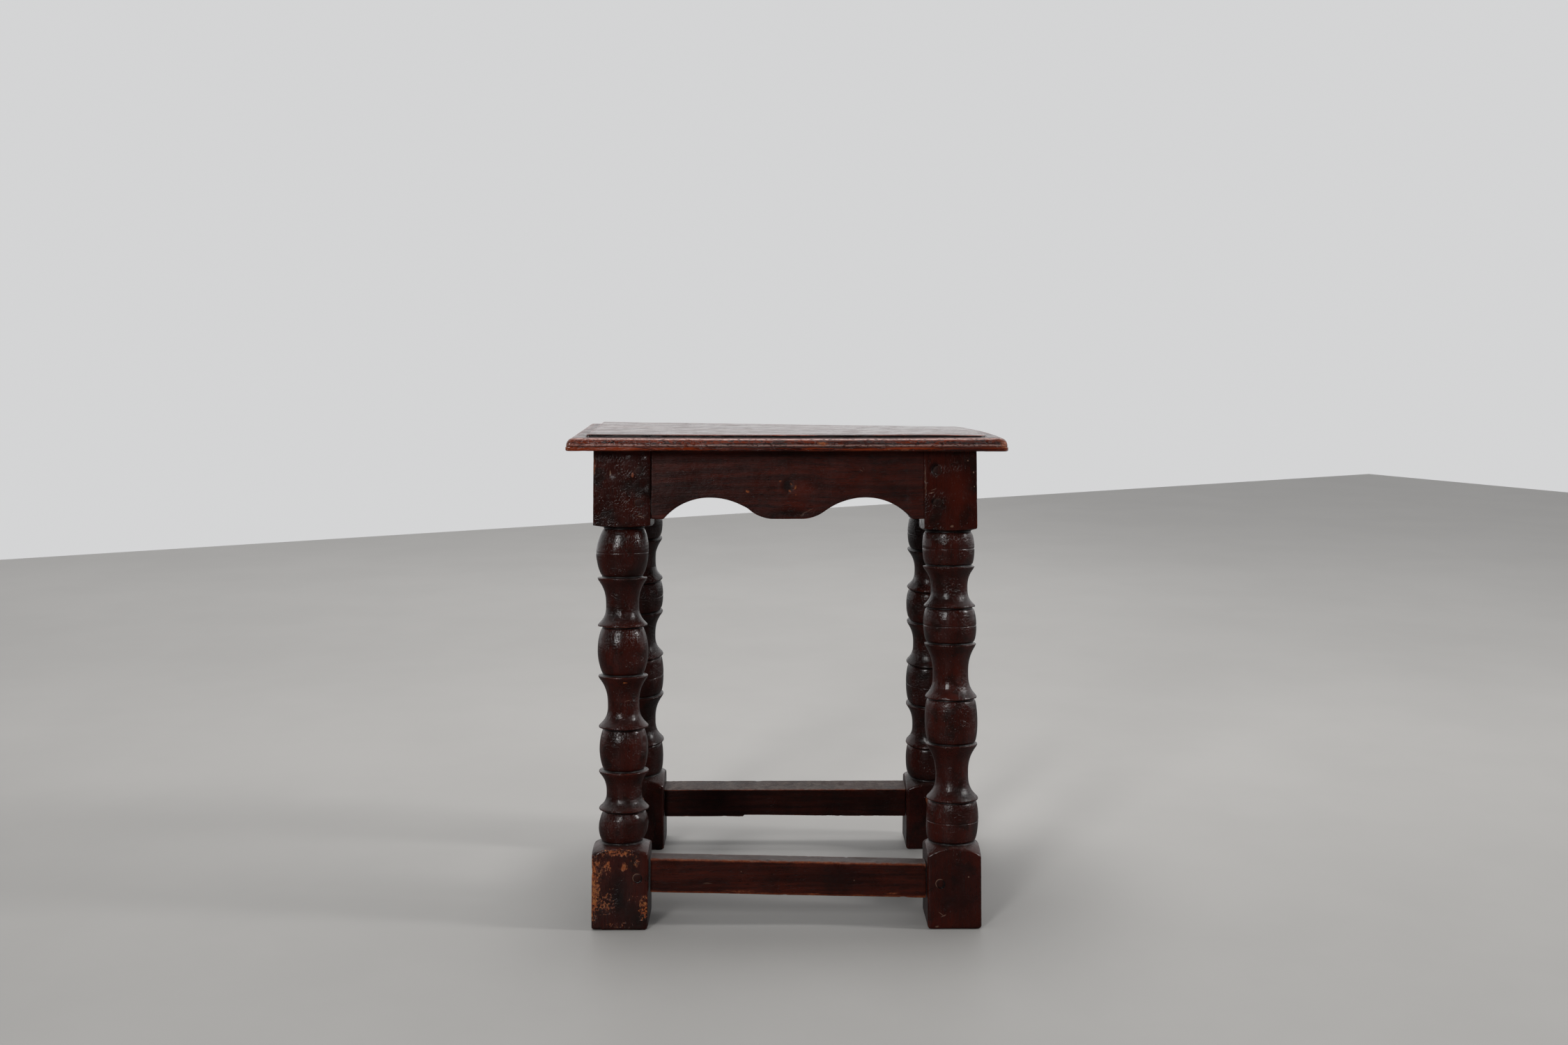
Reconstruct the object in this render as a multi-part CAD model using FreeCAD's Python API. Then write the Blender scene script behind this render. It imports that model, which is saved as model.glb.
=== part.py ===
import FreeCAD, Part
import math
import os
from dataclasses import dataclass
from FreeCAD import Vector

# Joint stool of turned oak. Millimetres and degrees, +Z up, +X to the right seen from the front,
# +Y to the back. The origin is on the floor, at the middle of the four feet.

# Overall sizes
stool_height = 500.0
top_thickness = 16.0
leg_rake = 4.55

# Fits and cuts
joint_clearance = 0.15
peg_clearance = 0.1
mortise_end_gap = 1.0
cut_overrun = 5.0

# Square stock of the legs, and the square blocks left at head and foot
leg_stock = 55.6
head_block = 82.0
foot_block = 82.0

# The turner's cuts where the square meets the round
foot_face_drop = 2.2
foot_corner_drop = 11.0
head_face_drop = 1.3
head_corner_drop = 3.0
neck_width = 3.0
collar_width = 2.2

# Top board: its edge moulding runs lip, quirk, ovolo, fillet and the step up to the raised field
top_width = 453.6
top_depth = 253.0
leg_inset_ends = 57.1
leg_inset_front = 43.8
lip_height = 5.0
lip_round = 1.6
quirk_depth = 1.5
quirk_height = 1.1
ovolo_width = 9.6
ovolo_height = 6.3
ovolo_bulge = 1.6
moulding_width = 19.7
field_step = 2.2

# Aprons: the rails under the top
apron_height = 73.0
apron_thickness = 22.0
apron_setback = 3.0
arch_rise = 22.0
arch_flat = 12.5
drop_flat = 14.0
arch_peak_share = 0.57
arch_turn_share = 0.64

# Stretchers: the rails between the foot blocks
front_stretcher_height = 35.0
front_stretcher_thickness = 23.5
front_stretcher_setback = 9.5
front_stretcher_low = 29.5
front_stretcher_fall = 6.4
back_stretcher_height = 33.0
back_stretcher_thickness = 30.0
back_stretcher_setback = 14.0
back_stretcher_low = 38.0
side_stretcher_height = 34.0
side_stretcher_thickness = 24.0
side_stretcher_setback = 10.0
side_stretcher_low = 30.0

# Tenons, and the wall left between the two mortises that meet in a leg
tenon_thickness = 8.0
mortise_wall = 4.0
apron_tenon_top = 12.0
apron_tenon_foot = 6.0
stretcher_tenon_edge = 4.0

# Pegs
peg_diameter = 7.8
peg_inset = 12.4
peg_past_tenon = 8.0
peg_proud = 0.8
peg_chamfer = 0.6
top_peg_diameter = 9.0
top_peg_depth = 30.0
apron_peg_shares = (0.2, 0.8)
stretcher_peg_shares = (0.5,)
top_peg_share = 0.82

# The turned curves: how far along its own length each point lies, and how far out from its lowest to its
# highest radius
ball_curve_shares = ((0.0, 0.0), (0.14, 0.7), (0.5, 1.0), (0.86, 0.7), (1.0, 0.0))
reel_curve_shares = ((0.0, 1.0), (0.13, 0.45), (0.32, 0.07), (0.5, 0.0), (0.68, 0.07), (0.87, 0.45), (1.0, 1.0))

# Worked out from the sizes above: the height of the frame, the length of a leg's axis, and how far apart the axes
# stand at the floor. Under the top, they are as far in from its edges as the two insets say.
frame_height = stool_height - top_thickness
rake_tangent = math.tan(math.radians(leg_rake))
rake_cosine = math.cos(math.radians(leg_rake))
axis_length = frame_height / rake_cosine
leg_spacing_wide = top_width - 2 * leg_inset_ends
leg_spacing_deep = top_depth - 2 * leg_inset_front + 2 * frame_height * rake_tangent


@dataclass(frozen=True)
class Leg:
    """One hand-turned leg: shares of the stock for its girths, shares of the turned length for its reels."""

    name: str
    frame: str
    end: int
    width_share: float
    head_share: float
    foot_share: float
    reel_shares: tuple
    ball_shares: tuple
    waist_shares: tuple
    collar_share: float
    neck_share: float

    @property
    def width(self):
        """The leg's width across the stool."""
        return leg_stock * self.width_share

    @property
    def head_shoulder(self):
        """The height up the leg where the turning ends under the head block."""
        return axis_length - head_block * self.head_share

    @property
    def foot_shoulder(self):
        """The height up the leg where the turning ends over the foot block."""
        return foot_block * self.foot_share


@dataclass(frozen=True)
class Rail:
    """One apron or stretcher, with its section and its place in a frame of two legs."""

    name: str
    kind: str
    frame: str
    height: float
    thickness: float
    setback: float
    low: float
    fall: float
    tenon_top: float
    tenon_foot: float
    peg_shares: tuple


# Each frame holds two legs and the rails between them. In a frame, x runs along the rails, y points outwards
# and z runs up the legs. Its turn about the stool's middle and the legs at its -x and +x ends follow.
frame_turn = {"back": 0.0, "left": 90.0, "front": 180.0, "right": -90.0}
frame_legs = {
    "back": ("back_left_leg", "back_right_leg"),
    "left": ("front_left_leg", "back_left_leg"),
    "front": ("front_right_leg", "front_left_leg"),
    "right": ("back_right_leg", "front_right_leg"),
}
raked_frames = ("front", "back")

# The four legs were turned by eye, so no two have their reels at the same heights
legs = {
    leg.name: leg
    for leg in (
        Leg(
            name="front_left_leg", frame="front", end=1,
            width_share=1.07, head_share=1.0, foot_share=0.994,
            reel_shares=((0.167, 0.310), (0.480, 0.633), (0.782, 0.892)),
            ball_shares=(0.982, 0.950, 0.906, 0.920), waist_shares=(0.622, 0.590, 0.655),
            collar_share=0.930, neck_share=0.760,
        ),
        Leg(
            name="front_right_leg", frame="front", end=-1,
            width_share=0.972, head_share=1.045, foot_share=0.988,
            reel_shares=((0.121, 0.241), (0.372, 0.535), (0.694, 0.860)),
            ball_shares=(0.980, 0.995, 0.985, 0.972), waist_shares=(0.690, 0.665, 0.612),
            collar_share=0.965, neck_share=0.860,
        ),
        Leg(
            name="back_left_leg", frame="back", end=-1,
            width_share=1.01, head_share=1.0, foot_share=1.079,
            reel_shares=((0.116, 0.258), (0.391, 0.545), (0.705, 0.874)),
            ball_shares=(0.990, 0.990, 0.980, 0.940), waist_shares=(0.690, 0.650, 0.628),
            collar_share=0.970, neck_share=0.850,
        ),
        Leg(
            name="back_right_leg", frame="back", end=1,
            width_share=0.98, head_share=1.11, foot_share=1.012,
            reel_shares=((0.131, 0.267), (0.407, 0.554), (0.724, 0.866)),
            ball_shares=(0.975, 1.000, 0.985, 0.965), waist_shares=(0.670, 0.700, 0.700),
            collar_share=0.975, neck_share=0.830,
        ),
    )
}


def apron(frame):
    """Return the apron of a frame."""
    top = axis_length if frame in raked_frames else frame_height
    return Rail(
        name=frame + "_apron", kind="apron", frame=frame, height=apron_height, thickness=apron_thickness,
        setback=apron_setback, low=top - apron_height, fall=0.0,
        tenon_top=apron_tenon_top, tenon_foot=apron_tenon_foot, peg_shares=apron_peg_shares,
    )


def stretcher(frame):
    """Return the stretcher of a frame."""
    sections = {
        "front": (front_stretcher_height, front_stretcher_thickness, front_stretcher_setback,
                  front_stretcher_low, front_stretcher_fall),
        "back": (back_stretcher_height, back_stretcher_thickness, back_stretcher_setback,
                 back_stretcher_low, 0.0),
    }
    side = (side_stretcher_height, side_stretcher_thickness, side_stretcher_setback, side_stretcher_low, 0.0)
    height, thickness, setback, low, fall = sections.get(frame, side)
    return Rail(
        name=frame + "_stretcher", kind="stretcher", frame=frame, height=height,
        thickness=thickness, setback=setback, low=low, fall=fall,
        tenon_top=stretcher_tenon_edge, tenon_foot=stretcher_tenon_edge, peg_shares=stretcher_peg_shares,
    )


aprons = {frame: apron(frame) for frame in frame_turn}
stretchers = {frame: stretcher(frame) for frame in frame_turn}
rails = {"apron": aprons, "stretcher": stretchers}


def place(shape, frame):
    """Move a shape from a frame's own axes to the stool's."""
    if frame in raked_frames:
        shape.rotate(Vector(0, 0, 0), Vector(1, 0, 0), leg_rake)
    shape.translate(Vector(0, frame_spacing(frame) / 2, 0))
    shape.rotate(Vector(0, 0, 0), Vector(0, 0, 1), frame_turn[frame])
    return shape


def frame_spacing(frame):
    """Return the distance from the leg axes of a frame to those of the opposite one, at the floor."""
    return leg_spacing_deep if frame in raked_frames else leg_spacing_wide


def rail_spacing(frame):
    """Return the distance between the two leg axes of a frame, at the floor."""
    return leg_spacing_wide if frame in raked_frames else leg_spacing_deep


def end_leg(frame, end):
    """Return the leg at the -x or +x end of a frame."""
    return legs[frame_legs[frame][0 if end < 0 else 1]]


def leg_reach(leg, frame):
    """Return how far a leg's block stands out from its axis, square to the frame."""
    return leg_stock / 2 if frame in raked_frames else leg.width / 2


def outer_face(rail):
    """Return the y of a rail's outer face, set back from the slimmer of its two legs."""
    return min(leg_reach(end_leg(rail.frame, end), rail.frame) for end in (-1, 1)) - rail.setback


def tenon_middle(rail):
    """Return the y of the middle of a rail's tenons."""
    return outer_face(rail) - rail.thickness / 2


def shoulder(rail, end, height):
    """Return the x of a rail's shoulder, which lies on the leg's inner face, at a height."""
    leg = end_leg(rail.frame, end)
    if rail.frame in raked_frames:
        return end * (rail_spacing(rail.frame) - leg.width) / 2
    return end * (rail_spacing(rail.frame) / 2 - leg_stock / 2 / rake_cosine - rake_tangent * height)


def tenon_length(rail, end):
    """Return a tenon's length: it stops a wall short of the mortise of the rail that meets it in the leg."""
    leg = end_leg(rail.frame, end)
    partner_frame = next(f for f in frame_legs if f != rail.frame and leg.name in frame_legs[f])
    partner = rails[rail.kind][partner_frame]
    half = leg.width / 2 if rail.frame in raked_frames else leg_stock / 2
    return half + tenon_middle(partner) - tenon_thickness / 2 - mortise_wall


def rail_low(rail, end):
    """Return the height of a rail's lower edge at one end."""
    return rail.low + end * rail.fall / 2


def slab(outline, middle, thickness):
    """Extrude a closed outline drawn in x and z, centred on a y."""
    face = Part.Face(outline)
    face.translate(Vector(0, middle - thickness / 2, 0))
    return face.extrude(Vector(0, thickness, 0))


def closed_wire(points):
    """Join points given as x and z into a closed outline."""
    corners = [Vector(x, 0, z) for x, z in points]
    return Part.makePolygon(corners + corners[:1])


def arch_edges(x_foot, x_peak, foot_height, rise, inner_x):
    """Draw one arch of an apron's lower edge: a single arc at the leg, an S of two arcs at the drop."""
    toward = 1 if inner_x > x_peak else -1
    outer_run = abs(x_peak - x_foot)
    outer_radius = (outer_run ** 2 + rise ** 2) / (2 * rise)
    half_run = outer_run / 2
    sag = outer_radius - math.sqrt(outer_radius ** 2 - half_run ** 2)
    peak = Vector(x_peak, 0, foot_height + rise)
    outer = Part.Arc(
        Vector(x_foot, 0, foot_height),
        Vector(x_peak - toward * half_run, 0, foot_height + rise - sag),
        peak,
    )
    inner_run = abs(inner_x - x_peak)
    turn = 2 * math.atan2(rise, inner_run)
    radii = inner_run / math.sin(turn)
    upper = radii * arch_turn_share
    lower = radii - upper
    meet = Vector(
        x_peak + toward * upper * math.sin(turn), 0, foot_height + rise - upper * (1 - math.cos(turn))
    )
    upper_mid = Vector(
        x_peak + toward * upper * math.sin(turn / 2), 0, foot_height + rise - upper * (1 - math.cos(turn / 2))
    )
    lower_mid = Vector(
        inner_x - toward * lower * math.sin(turn / 2), 0, foot_height + lower * (1 - math.cos(turn / 2))
    )
    bottom = Vector(inner_x, 0, foot_height)
    return [outer, Part.Arc(peak, upper_mid, meet), Part.Arc(meet, lower_mid, bottom)]


def long_apron_edge(left, right, low):
    """Draw the lower edge of the front and back aprons, from left to right."""
    middle = (left + right) / 2
    half = (right - left) / 2
    peak = arch_peak_share * half
    left_arch = arch_edges(left + arch_flat, middle - peak, low, arch_rise, middle - drop_flat)
    right_arch = arch_edges(right - arch_flat, middle + peak, low, arch_rise, middle + drop_flat)
    drop = Part.LineSegment(Vector(middle - drop_flat, 0, low), Vector(middle + drop_flat, 0, low))
    return left_arch + [drop] + right_arch


def side_apron_edge(left, right, low):
    """Draw the lower edge of the side aprons, one arch from left to right."""
    middle = (left + right) / 2
    return [
        Part.Arc(
            Vector(left + arch_flat, 0, low), Vector(middle, 0, low + arch_rise), Vector(right - arch_flat, 0, low)
        )
    ]


def apron_outline(rail):
    """Draw a whole apron between its shoulders. The top runs on past the frame and is cut level later."""
    top = rail.low + rail.height + cut_overrun
    low_left = shoulder(rail, -1, rail.low)
    low_right = shoulder(rail, 1, rail.low)
    edge = long_apron_edge if rail.frame in raked_frames else side_apron_edge
    lower = edge(low_left, low_right, rail.low)
    corners = [
        Vector(low_right, 0, rail.low),
        Vector(shoulder(rail, 1, top), 0, top),
        Vector(shoulder(rail, -1, top), 0, top),
        Vector(low_left, 0, rail.low),
    ]
    sides = [Part.LineSegment(a, b) for a, b in zip(corners, corners[1:])]
    flats = [
        Part.LineSegment(Vector(low_left, 0, rail.low), Vector(low_left + arch_flat, 0, rail.low)),
        Part.LineSegment(Vector(low_right - arch_flat, 0, rail.low), Vector(low_right, 0, rail.low)),
    ]
    edges = [curve.toShape() for curve in flats + lower + sides]
    return Part.Wire(Part.__sortEdges__(edges))


def stretcher_outline(rail):
    """Draw a whole stretcher between its shoulders."""
    points = []
    for end, rise in ((-1, 0.0), (1, 0.0), (1, rail.height), (-1, rail.height)):
        height = rail_low(rail, end) + rise
        points.append((shoulder(rail, end, height), height))
    return closed_wire(points)


def tenon(rail, end, grow=0.0, deeper=0.0):
    """Make one tenon, or with grow and deeper the space that its mortise leaves around it."""
    slope = rail.fall / abs(shoulder(rail, 1, rail.low) - shoulder(rail, -1, rail.low))
    reach = tenon_length(rail, end) + deeper
    low = rail_low(rail, end) + rail.tenon_foot - grow
    high = rail_low(rail, end) + rail.height - rail.tenon_top + grow
    points = []
    for height, run in ((low, -grow), (low, reach), (high, reach), (high, -grow)):
        points.append((shoulder(rail, end, height) + end * run, height + run * slope))
    return slab(closed_wire(points), tenon_middle(rail), tenon_thickness + 2 * grow)


def rod(diameter, start, end, chamfer=0.0):
    """Make a round rod between two y values, its outer end chamfered."""
    axis = Vector(0, 1, 0)
    body = Part.makeCylinder(diameter / 2, end - start, Vector(0, start, 0), axis)
    if chamfer:
        outer = [edge for edge in body.Edges if len(edge.Vertexes) == 1 and edge.BoundBox.YMin > (start + end) / 2]
        body = body.makeChamfer(chamfer, outer)
    return body


def pegs(rail, grow=0.0):
    """Make the pegs of a rail, or with grow the holes that they are driven into."""
    made = []
    for end in (-1, 1):
        leg = end_leg(rail.frame, end)
        face = leg_reach(leg, rail.frame)
        inner = tenon_middle(rail) - tenon_thickness / 2 - peg_past_tenon
        low = rail_low(rail, end) + rail.tenon_foot
        height = rail.height - rail.tenon_foot - rail.tenon_top
        for share in rail.peg_shares:
            z = low + share * height
            peg = rod(
                peg_diameter + 2 * grow, inner - grow, face + peg_proud + (cut_overrun if grow else 0.0),
                0.0 if grow else peg_chamfer,
            )
            peg.translate(Vector(shoulder(rail, end, z) + end * peg_inset, 0, z))
            made.append(place(peg, rail.frame))
    return made


def top_pegs(grow=0.0):
    """Make the four pegs of the top, or with grow their holes, which go down into the front and back aprons."""
    made = []
    for frame, outward in (("front", -1), ("back", 1)):
        rail = aprons[frame]
        y = leg_spacing_deep / 2 - frame_height * rake_tangent + tenon_middle(rail) / rake_cosine
        middle = sum(shoulder(rail, end, rail.low) for end in (-1, 1)) / 2
        half = (shoulder(rail, 1, rail.low) - shoulder(rail, -1, rail.low)) / 2
        for side in (-1, 1):
            low = frame_height - top_peg_depth - grow
            high = stool_height + (cut_overrun if grow else 0.0)
            x = outward * middle + side * top_peg_share * half
            made.append(
                Part.makeCylinder(top_peg_diameter / 2 + grow, high - low, Vector(x, outward * y, low))
            )
    return made


def level(shape):
    """Cut a shape off level at the floor and under the top."""
    box = shape.BoundBox
    between = Part.makeBox(box.XLength, box.YLength, frame_height, Vector(box.XMin, box.YMin, 0))
    return shape.common(between)


def rail_solid(rail, outline):
    """Make a rail with its two tenons, bored for its pegs."""
    body = slab(outline, tenon_middle(rail), rail.thickness)
    body = body.fuse([tenon(rail, end) for end in (-1, 1)]).removeSplitter()
    return level(place(body, rail.frame)).cut(pegs(rail, peg_clearance))


def curve_between(start, stop, low_radius, high_radius, shares):
    """Return a smooth turned line in x and z, from a start height to a stop height."""
    points = [
        Vector(low_radius + rise * (high_radius - low_radius), 0, start + run * (stop - start))
        for run, rise in shares
    ]
    line = Part.BSplineCurve()
    line.interpolate(points)
    return line.toShape()


def turned_profile(leg):
    """Return the edges of a leg's turned line, down from the head block to the foot block."""
    half = leg_stock / 2
    neck = half * leg.neck_share
    collar = half * leg.collar_share
    top = leg.head_shoulder
    length = top - leg.foot_shoulder
    edges = []
    here = Vector(neck, 0, top)

    def straight_to(radius, height):
        """Add a straight stretch."""
        nonlocal here
        there = Vector(radius, 0, height)
        edges.append(Part.LineSegment(here, there).toShape())
        here = there

    def curve_to(height, low_radius, high_radius, shares):
        """Add a ball or a reel."""
        nonlocal here
        edges.append(curve_between(here.z, height, low_radius, high_radius, shares))
        here = Vector(here.x, 0, height)

    for number, ball_share in enumerate(leg.ball_shares):
        ball_low = leg.foot_shoulder + neck_width / 2
        if number < len(leg.reel_shares):
            reel_top = top - leg.reel_shares[number][0] * length
            reel_foot = top - leg.reel_shares[number][1] * length
            ball_low = reel_top + collar_width + neck_width / 2
        straight_to(neck, here.z - neck_width / 2)
        curve_to(ball_low, neck, half * ball_share, ball_curve_shares)
        straight_to(neck, here.z - neck_width / 2)
        if number < len(leg.reel_shares):
            waist = half * leg.waist_shares[number]
            straight_to(collar, here.z)
            straight_to(collar, reel_top)
            curve_to(reel_foot, waist, collar, reel_curve_shares)
            straight_to(collar, here.z - collar_width)
            straight_to(neck, here.z)
    return edges


def turned_stretch(leg):
    """Make the turned part of a leg about the z axis."""
    edges = turned_profile(leg)
    first = edges[0].Vertexes[0].Point
    last = Vector(first.x, 0, leg.foot_shoulder)
    axis_top = Vector(0, 0, first.z)
    axis_foot = Vector(0, 0, last.z)
    closing = [
        Part.LineSegment(axis_top, first).toShape(),
        Part.LineSegment(last, axis_foot).toShape(),
        Part.LineSegment(axis_foot, axis_top).toShape(),
    ]
    face = Part.Face(Part.Wire(Part.__sortEdges__(edges + closing)))
    return face.revolve(Vector(0, 0, 0), Vector(0, 0, 1), 360)


def block(leg, root, tip, face_drop, corner_drop):
    """Make a square block from its far end to the turned shoulder that rounds its corners off."""
    away = 1 if root > tip else -1
    corner = math.hypot(leg.width, leg_stock) / 2
    neck = leg_stock / 2 * leg.neck_share
    far = Vector(corner + cut_overrun, 0, root)
    edge = Vector(far.x, 0, tip + away * corner_drop * (far.x / corner))
    curve = Part.Arc(edge, Vector(leg_stock / 2, 0, tip + away * face_drop), Vector(neck, 0, tip))
    outline = [
        Part.LineSegment(Vector(0, 0, root), far).toShape(),
        Part.LineSegment(far, edge).toShape(),
        curve.toShape(),
        Part.LineSegment(Vector(neck, 0, tip), Vector(0, 0, tip)).toShape(),
        Part.LineSegment(Vector(0, 0, tip), Vector(0, 0, root)).toShape(),
    ]
    turned = Part.Face(Part.Wire(Part.__sortEdges__(outline))).revolve(Vector(0, 0, 0), Vector(0, 0, 1), 360)
    square = Part.makeBox(
        leg.width, leg_stock, abs(root - tip), Vector(-leg.width / 2, -leg_stock / 2, min(root, tip))
    )
    return square.common(turned)


def leg_solid(leg):
    """Make a whole leg: foot block, turned stretch and head block, mortised and bored."""
    foot = block(leg, -cut_overrun, leg.foot_shoulder, foot_face_drop, foot_corner_drop)
    head = block(leg, axis_length + cut_overrun, leg.head_shoulder, head_face_drop, head_corner_drop)
    whole = turned_stretch(leg).fuse([foot, head])
    whole.translate(Vector(leg.end * leg_spacing_wide / 2, 0, 0))
    whole = level(place(whole, leg.frame))
    spaces = []
    for frame, ends in frame_legs.items():
        if leg.name in ends:
            end = -1 if ends[0] == leg.name else 1
            for rail in (aprons[frame], stretchers[frame]):
                spaces.append(place(tenon(rail, end, joint_clearance, mortise_end_gap), frame))
                spaces.extend(pegs(rail, peg_clearance))
    return whole.cut(spaces)


def moulded_section(length):
    """Draw the board's section over a given length in x and z, with the moulding at both ends."""
    low = frame_height
    nose = lip_round * (1 - math.sqrt(0.5))
    ovolo_foot = low + lip_height + quirk_height
    ovolo_top = ovolo_foot + ovolo_height
    field = stool_height
    edge = length / 2
    quirk = edge - quirk_depth
    ovolo_end = quirk - ovolo_width
    step = edge - moulding_width

    def side(sign):
        """Draw one moulded end, from the underside up to the field."""
        def at(x, z):
            """Return a point of this end."""
            return Vector(sign * x, 0, z)

        ovolo_mid = at(
            (quirk + ovolo_end) / 2 + ovolo_bulge, (ovolo_foot + ovolo_top) / 2 + ovolo_bulge
        )
        return [
            Part.Arc(at(edge - lip_round, low), at(edge - nose, low + nose), at(edge, low + lip_round)),
            Part.LineSegment(at(edge, low + lip_round), at(edge, low + lip_height)),
            Part.LineSegment(at(edge, low + lip_height), at(quirk, ovolo_foot)),
            Part.Arc(at(quirk, ovolo_foot), ovolo_mid, at(ovolo_end, ovolo_top)),
            Part.LineSegment(at(ovolo_end, ovolo_top), at(step, field - field_step)),
            Part.LineSegment(at(step, field - field_step), at(step, field)),
        ]

    across = [
        Part.LineSegment(Vector(-edge + lip_round, 0, low), Vector(edge - lip_round, 0, low)),
        Part.LineSegment(Vector(-step, 0, field), Vector(step, 0, field)),
    ]
    edges = [curve.toShape() for curve in side(1) + side(-1) + across]
    return Part.Wire(Part.__sortEdges__(edges))


def top_board():
    """Make the top: its moulding is worked on all four edges and meets in mitres."""
    along = slab(moulded_section(top_width), 0.0, top_depth)
    across = slab(moulded_section(top_depth), 0.0, top_width)
    across.rotate(Vector(0, 0, 0), Vector(0, 0, 1), 90)
    return along.common(across).cut(top_pegs(peg_clearance))


def group(shapes):
    """Put separate solids of one kind together."""
    return Part.makeCompound([solid for shape in shapes for solid in shape.Solids])


def make_all():
    """Make every piece, by its node's name."""
    made = {"top_board": top_board()}
    for name, leg in legs.items():
        made[name] = leg_solid(leg)
    for frame, rail in aprons.items():
        made[rail.name] = rail_solid(rail, apron_outline(rail))
        if frame in raked_frames:
            made[rail.name] = made[rail.name].cut(top_pegs(peg_clearance))
        made[rail.name + "_pegs"] = group(pegs(rail))
    for rail in stretchers.values():
        made[rail.name] = rail_solid(rail, stretcher_outline(rail))
        made[rail.name + "_pegs"] = group(pegs(rail))
    made["top_pegs"] = group(top_pegs())
    return made


os.makedirs("parts", exist_ok=True)
for node, shape in make_all().items():
    solids = shape.Solids
    whole = solids[0] if len(solids) == 1 else Part.makeCompound(solids)
    whole.exportStep("parts/" + node + ".step")
    print(node, len(solids), round(whole.Volume / 1000, 2), "cm3", whole.isValid())
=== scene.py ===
"""The looks of a joined oak stool, built round its packed construction.

Lengths are in metres, and a size written in millimetres carries MM. The stool stands on z = 0 with its front
towards -Y. Each finished piece is one plain mesh whose place is in its vertices.
"""

import logging
import math
from collections.abc import Iterable, Mapping
from dataclasses import dataclass, field, replace
from enum import Enum
from functools import reduce

import bmesh
import bpy
import numpy as np
from mathutils import Matrix, Vector


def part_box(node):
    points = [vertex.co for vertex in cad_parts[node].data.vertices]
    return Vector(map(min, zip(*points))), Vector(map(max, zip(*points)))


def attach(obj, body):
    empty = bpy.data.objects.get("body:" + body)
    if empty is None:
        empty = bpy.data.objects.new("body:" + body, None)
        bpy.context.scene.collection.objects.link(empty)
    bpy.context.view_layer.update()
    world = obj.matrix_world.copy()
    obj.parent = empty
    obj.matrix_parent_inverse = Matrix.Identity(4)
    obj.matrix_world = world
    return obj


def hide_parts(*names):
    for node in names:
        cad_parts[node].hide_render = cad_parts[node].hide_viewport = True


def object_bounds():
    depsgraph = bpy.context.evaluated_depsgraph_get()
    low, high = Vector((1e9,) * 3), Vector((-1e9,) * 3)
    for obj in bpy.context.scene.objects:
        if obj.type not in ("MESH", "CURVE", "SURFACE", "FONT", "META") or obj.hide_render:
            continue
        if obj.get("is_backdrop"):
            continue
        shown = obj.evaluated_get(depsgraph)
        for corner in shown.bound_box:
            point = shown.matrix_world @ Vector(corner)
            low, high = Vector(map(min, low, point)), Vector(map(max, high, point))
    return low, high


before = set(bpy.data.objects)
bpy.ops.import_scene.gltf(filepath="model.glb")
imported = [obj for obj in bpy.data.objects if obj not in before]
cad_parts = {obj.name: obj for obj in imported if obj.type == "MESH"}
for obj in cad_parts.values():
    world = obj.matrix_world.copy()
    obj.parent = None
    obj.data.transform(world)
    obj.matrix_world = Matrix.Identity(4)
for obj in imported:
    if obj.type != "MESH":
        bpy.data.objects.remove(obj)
cad_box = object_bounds()

log = logging.getLogger("joint_stool")

MM = 0.001

Pair = tuple[float, float]
Triple = tuple[float, float, float]
Quad = tuple[float, float, float, float]
Node = bpy.types.Node
Tree = bpy.types.NodeTree
Material = bpy.types.Material
Socket = bpy.types.NodeSocket
Value = float | int | bool | tuple | Socket | Material | Tree

# The shared sizes of the frame, as the construction has them
RAKE = math.radians(4.55)
STOCK = 55.6 * MM
HEAD_BLOCK = 82 * MM
FOOT_BLOCK = 82 * MM
FRAME_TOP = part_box("top_board")[0].z
AXIS_LENGTH = FRAME_TOP / math.cos(RAKE)

# Vertices nearer than this are one, in general and along the seam of a turning
MERGED = 0.01 * MM
SEAM = 0.001 * MM

# Points this near to the outermost one belong to the head of a peg
HEAD_DEPTH = 0.1 * MM

# The stain where it has gathered in a hole or along an edge, and the painted shade beside pegs' rims and
# under the top's lip
BLACKENED_AND_SHADE = (0.003, 0.002, 0.002)


class Side(Enum):
    """The four frames of the stool, each two legs and the rails between them, by its turn in degrees."""

    BACK = 0.0
    LEFT = 90.0
    FRONT = 180.0
    RIGHT = -90.0

    @property
    def raked(self) -> bool:
        """Whether this frame leans with its legs."""
        return self in (Side.FRONT, Side.BACK)

    @property
    def spread(self) -> float:
        """The distance at the floor from the leg axes of this frame to those of the opposite one."""
        low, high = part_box("front_left_leg")
        if self.raked:
            return 2 * -low.y - STOCK / math.cos(RAKE)
        return -low.x - high.x

    @property
    def place(self) -> Matrix:
        """The turn and shift from the frame's own axes, x along the rails and y outwards, to the stool's."""
        lean = RAKE if self.raked else 0.0
        out = Matrix.Translation((0.0, self.spread / 2, 0.0))
        return Matrix.Rotation(math.radians(self.value), 4, "Z") @ out @ Matrix.Rotation(lean, 4, "X")

    def node(self, kind: str) -> str:
        """Return the name of this frame's node of a kind, such as apron."""
        return f"{self.name.lower()}_{kind}"


SIDE_LEGS = {
    Side.BACK: ("back_left_leg", "back_right_leg"),
    Side.LEFT: ("front_left_leg", "back_left_leg"),
    Side.FRONT: ("front_right_leg", "front_left_leg"),
    Side.RIGHT: ("back_right_leg", "front_right_leg"),
}


def leg_width(node: str) -> float:
    """Return the width of a leg's block across the stool."""
    low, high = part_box(node)
    return high.x - low.x


class Slot(Enum):
    """The record's material slots."""

    TOP = "top_oak"
    TURNED = "turned_oak"
    RAIL = "rail_oak"
    PEG = "peg_oak"


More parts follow.
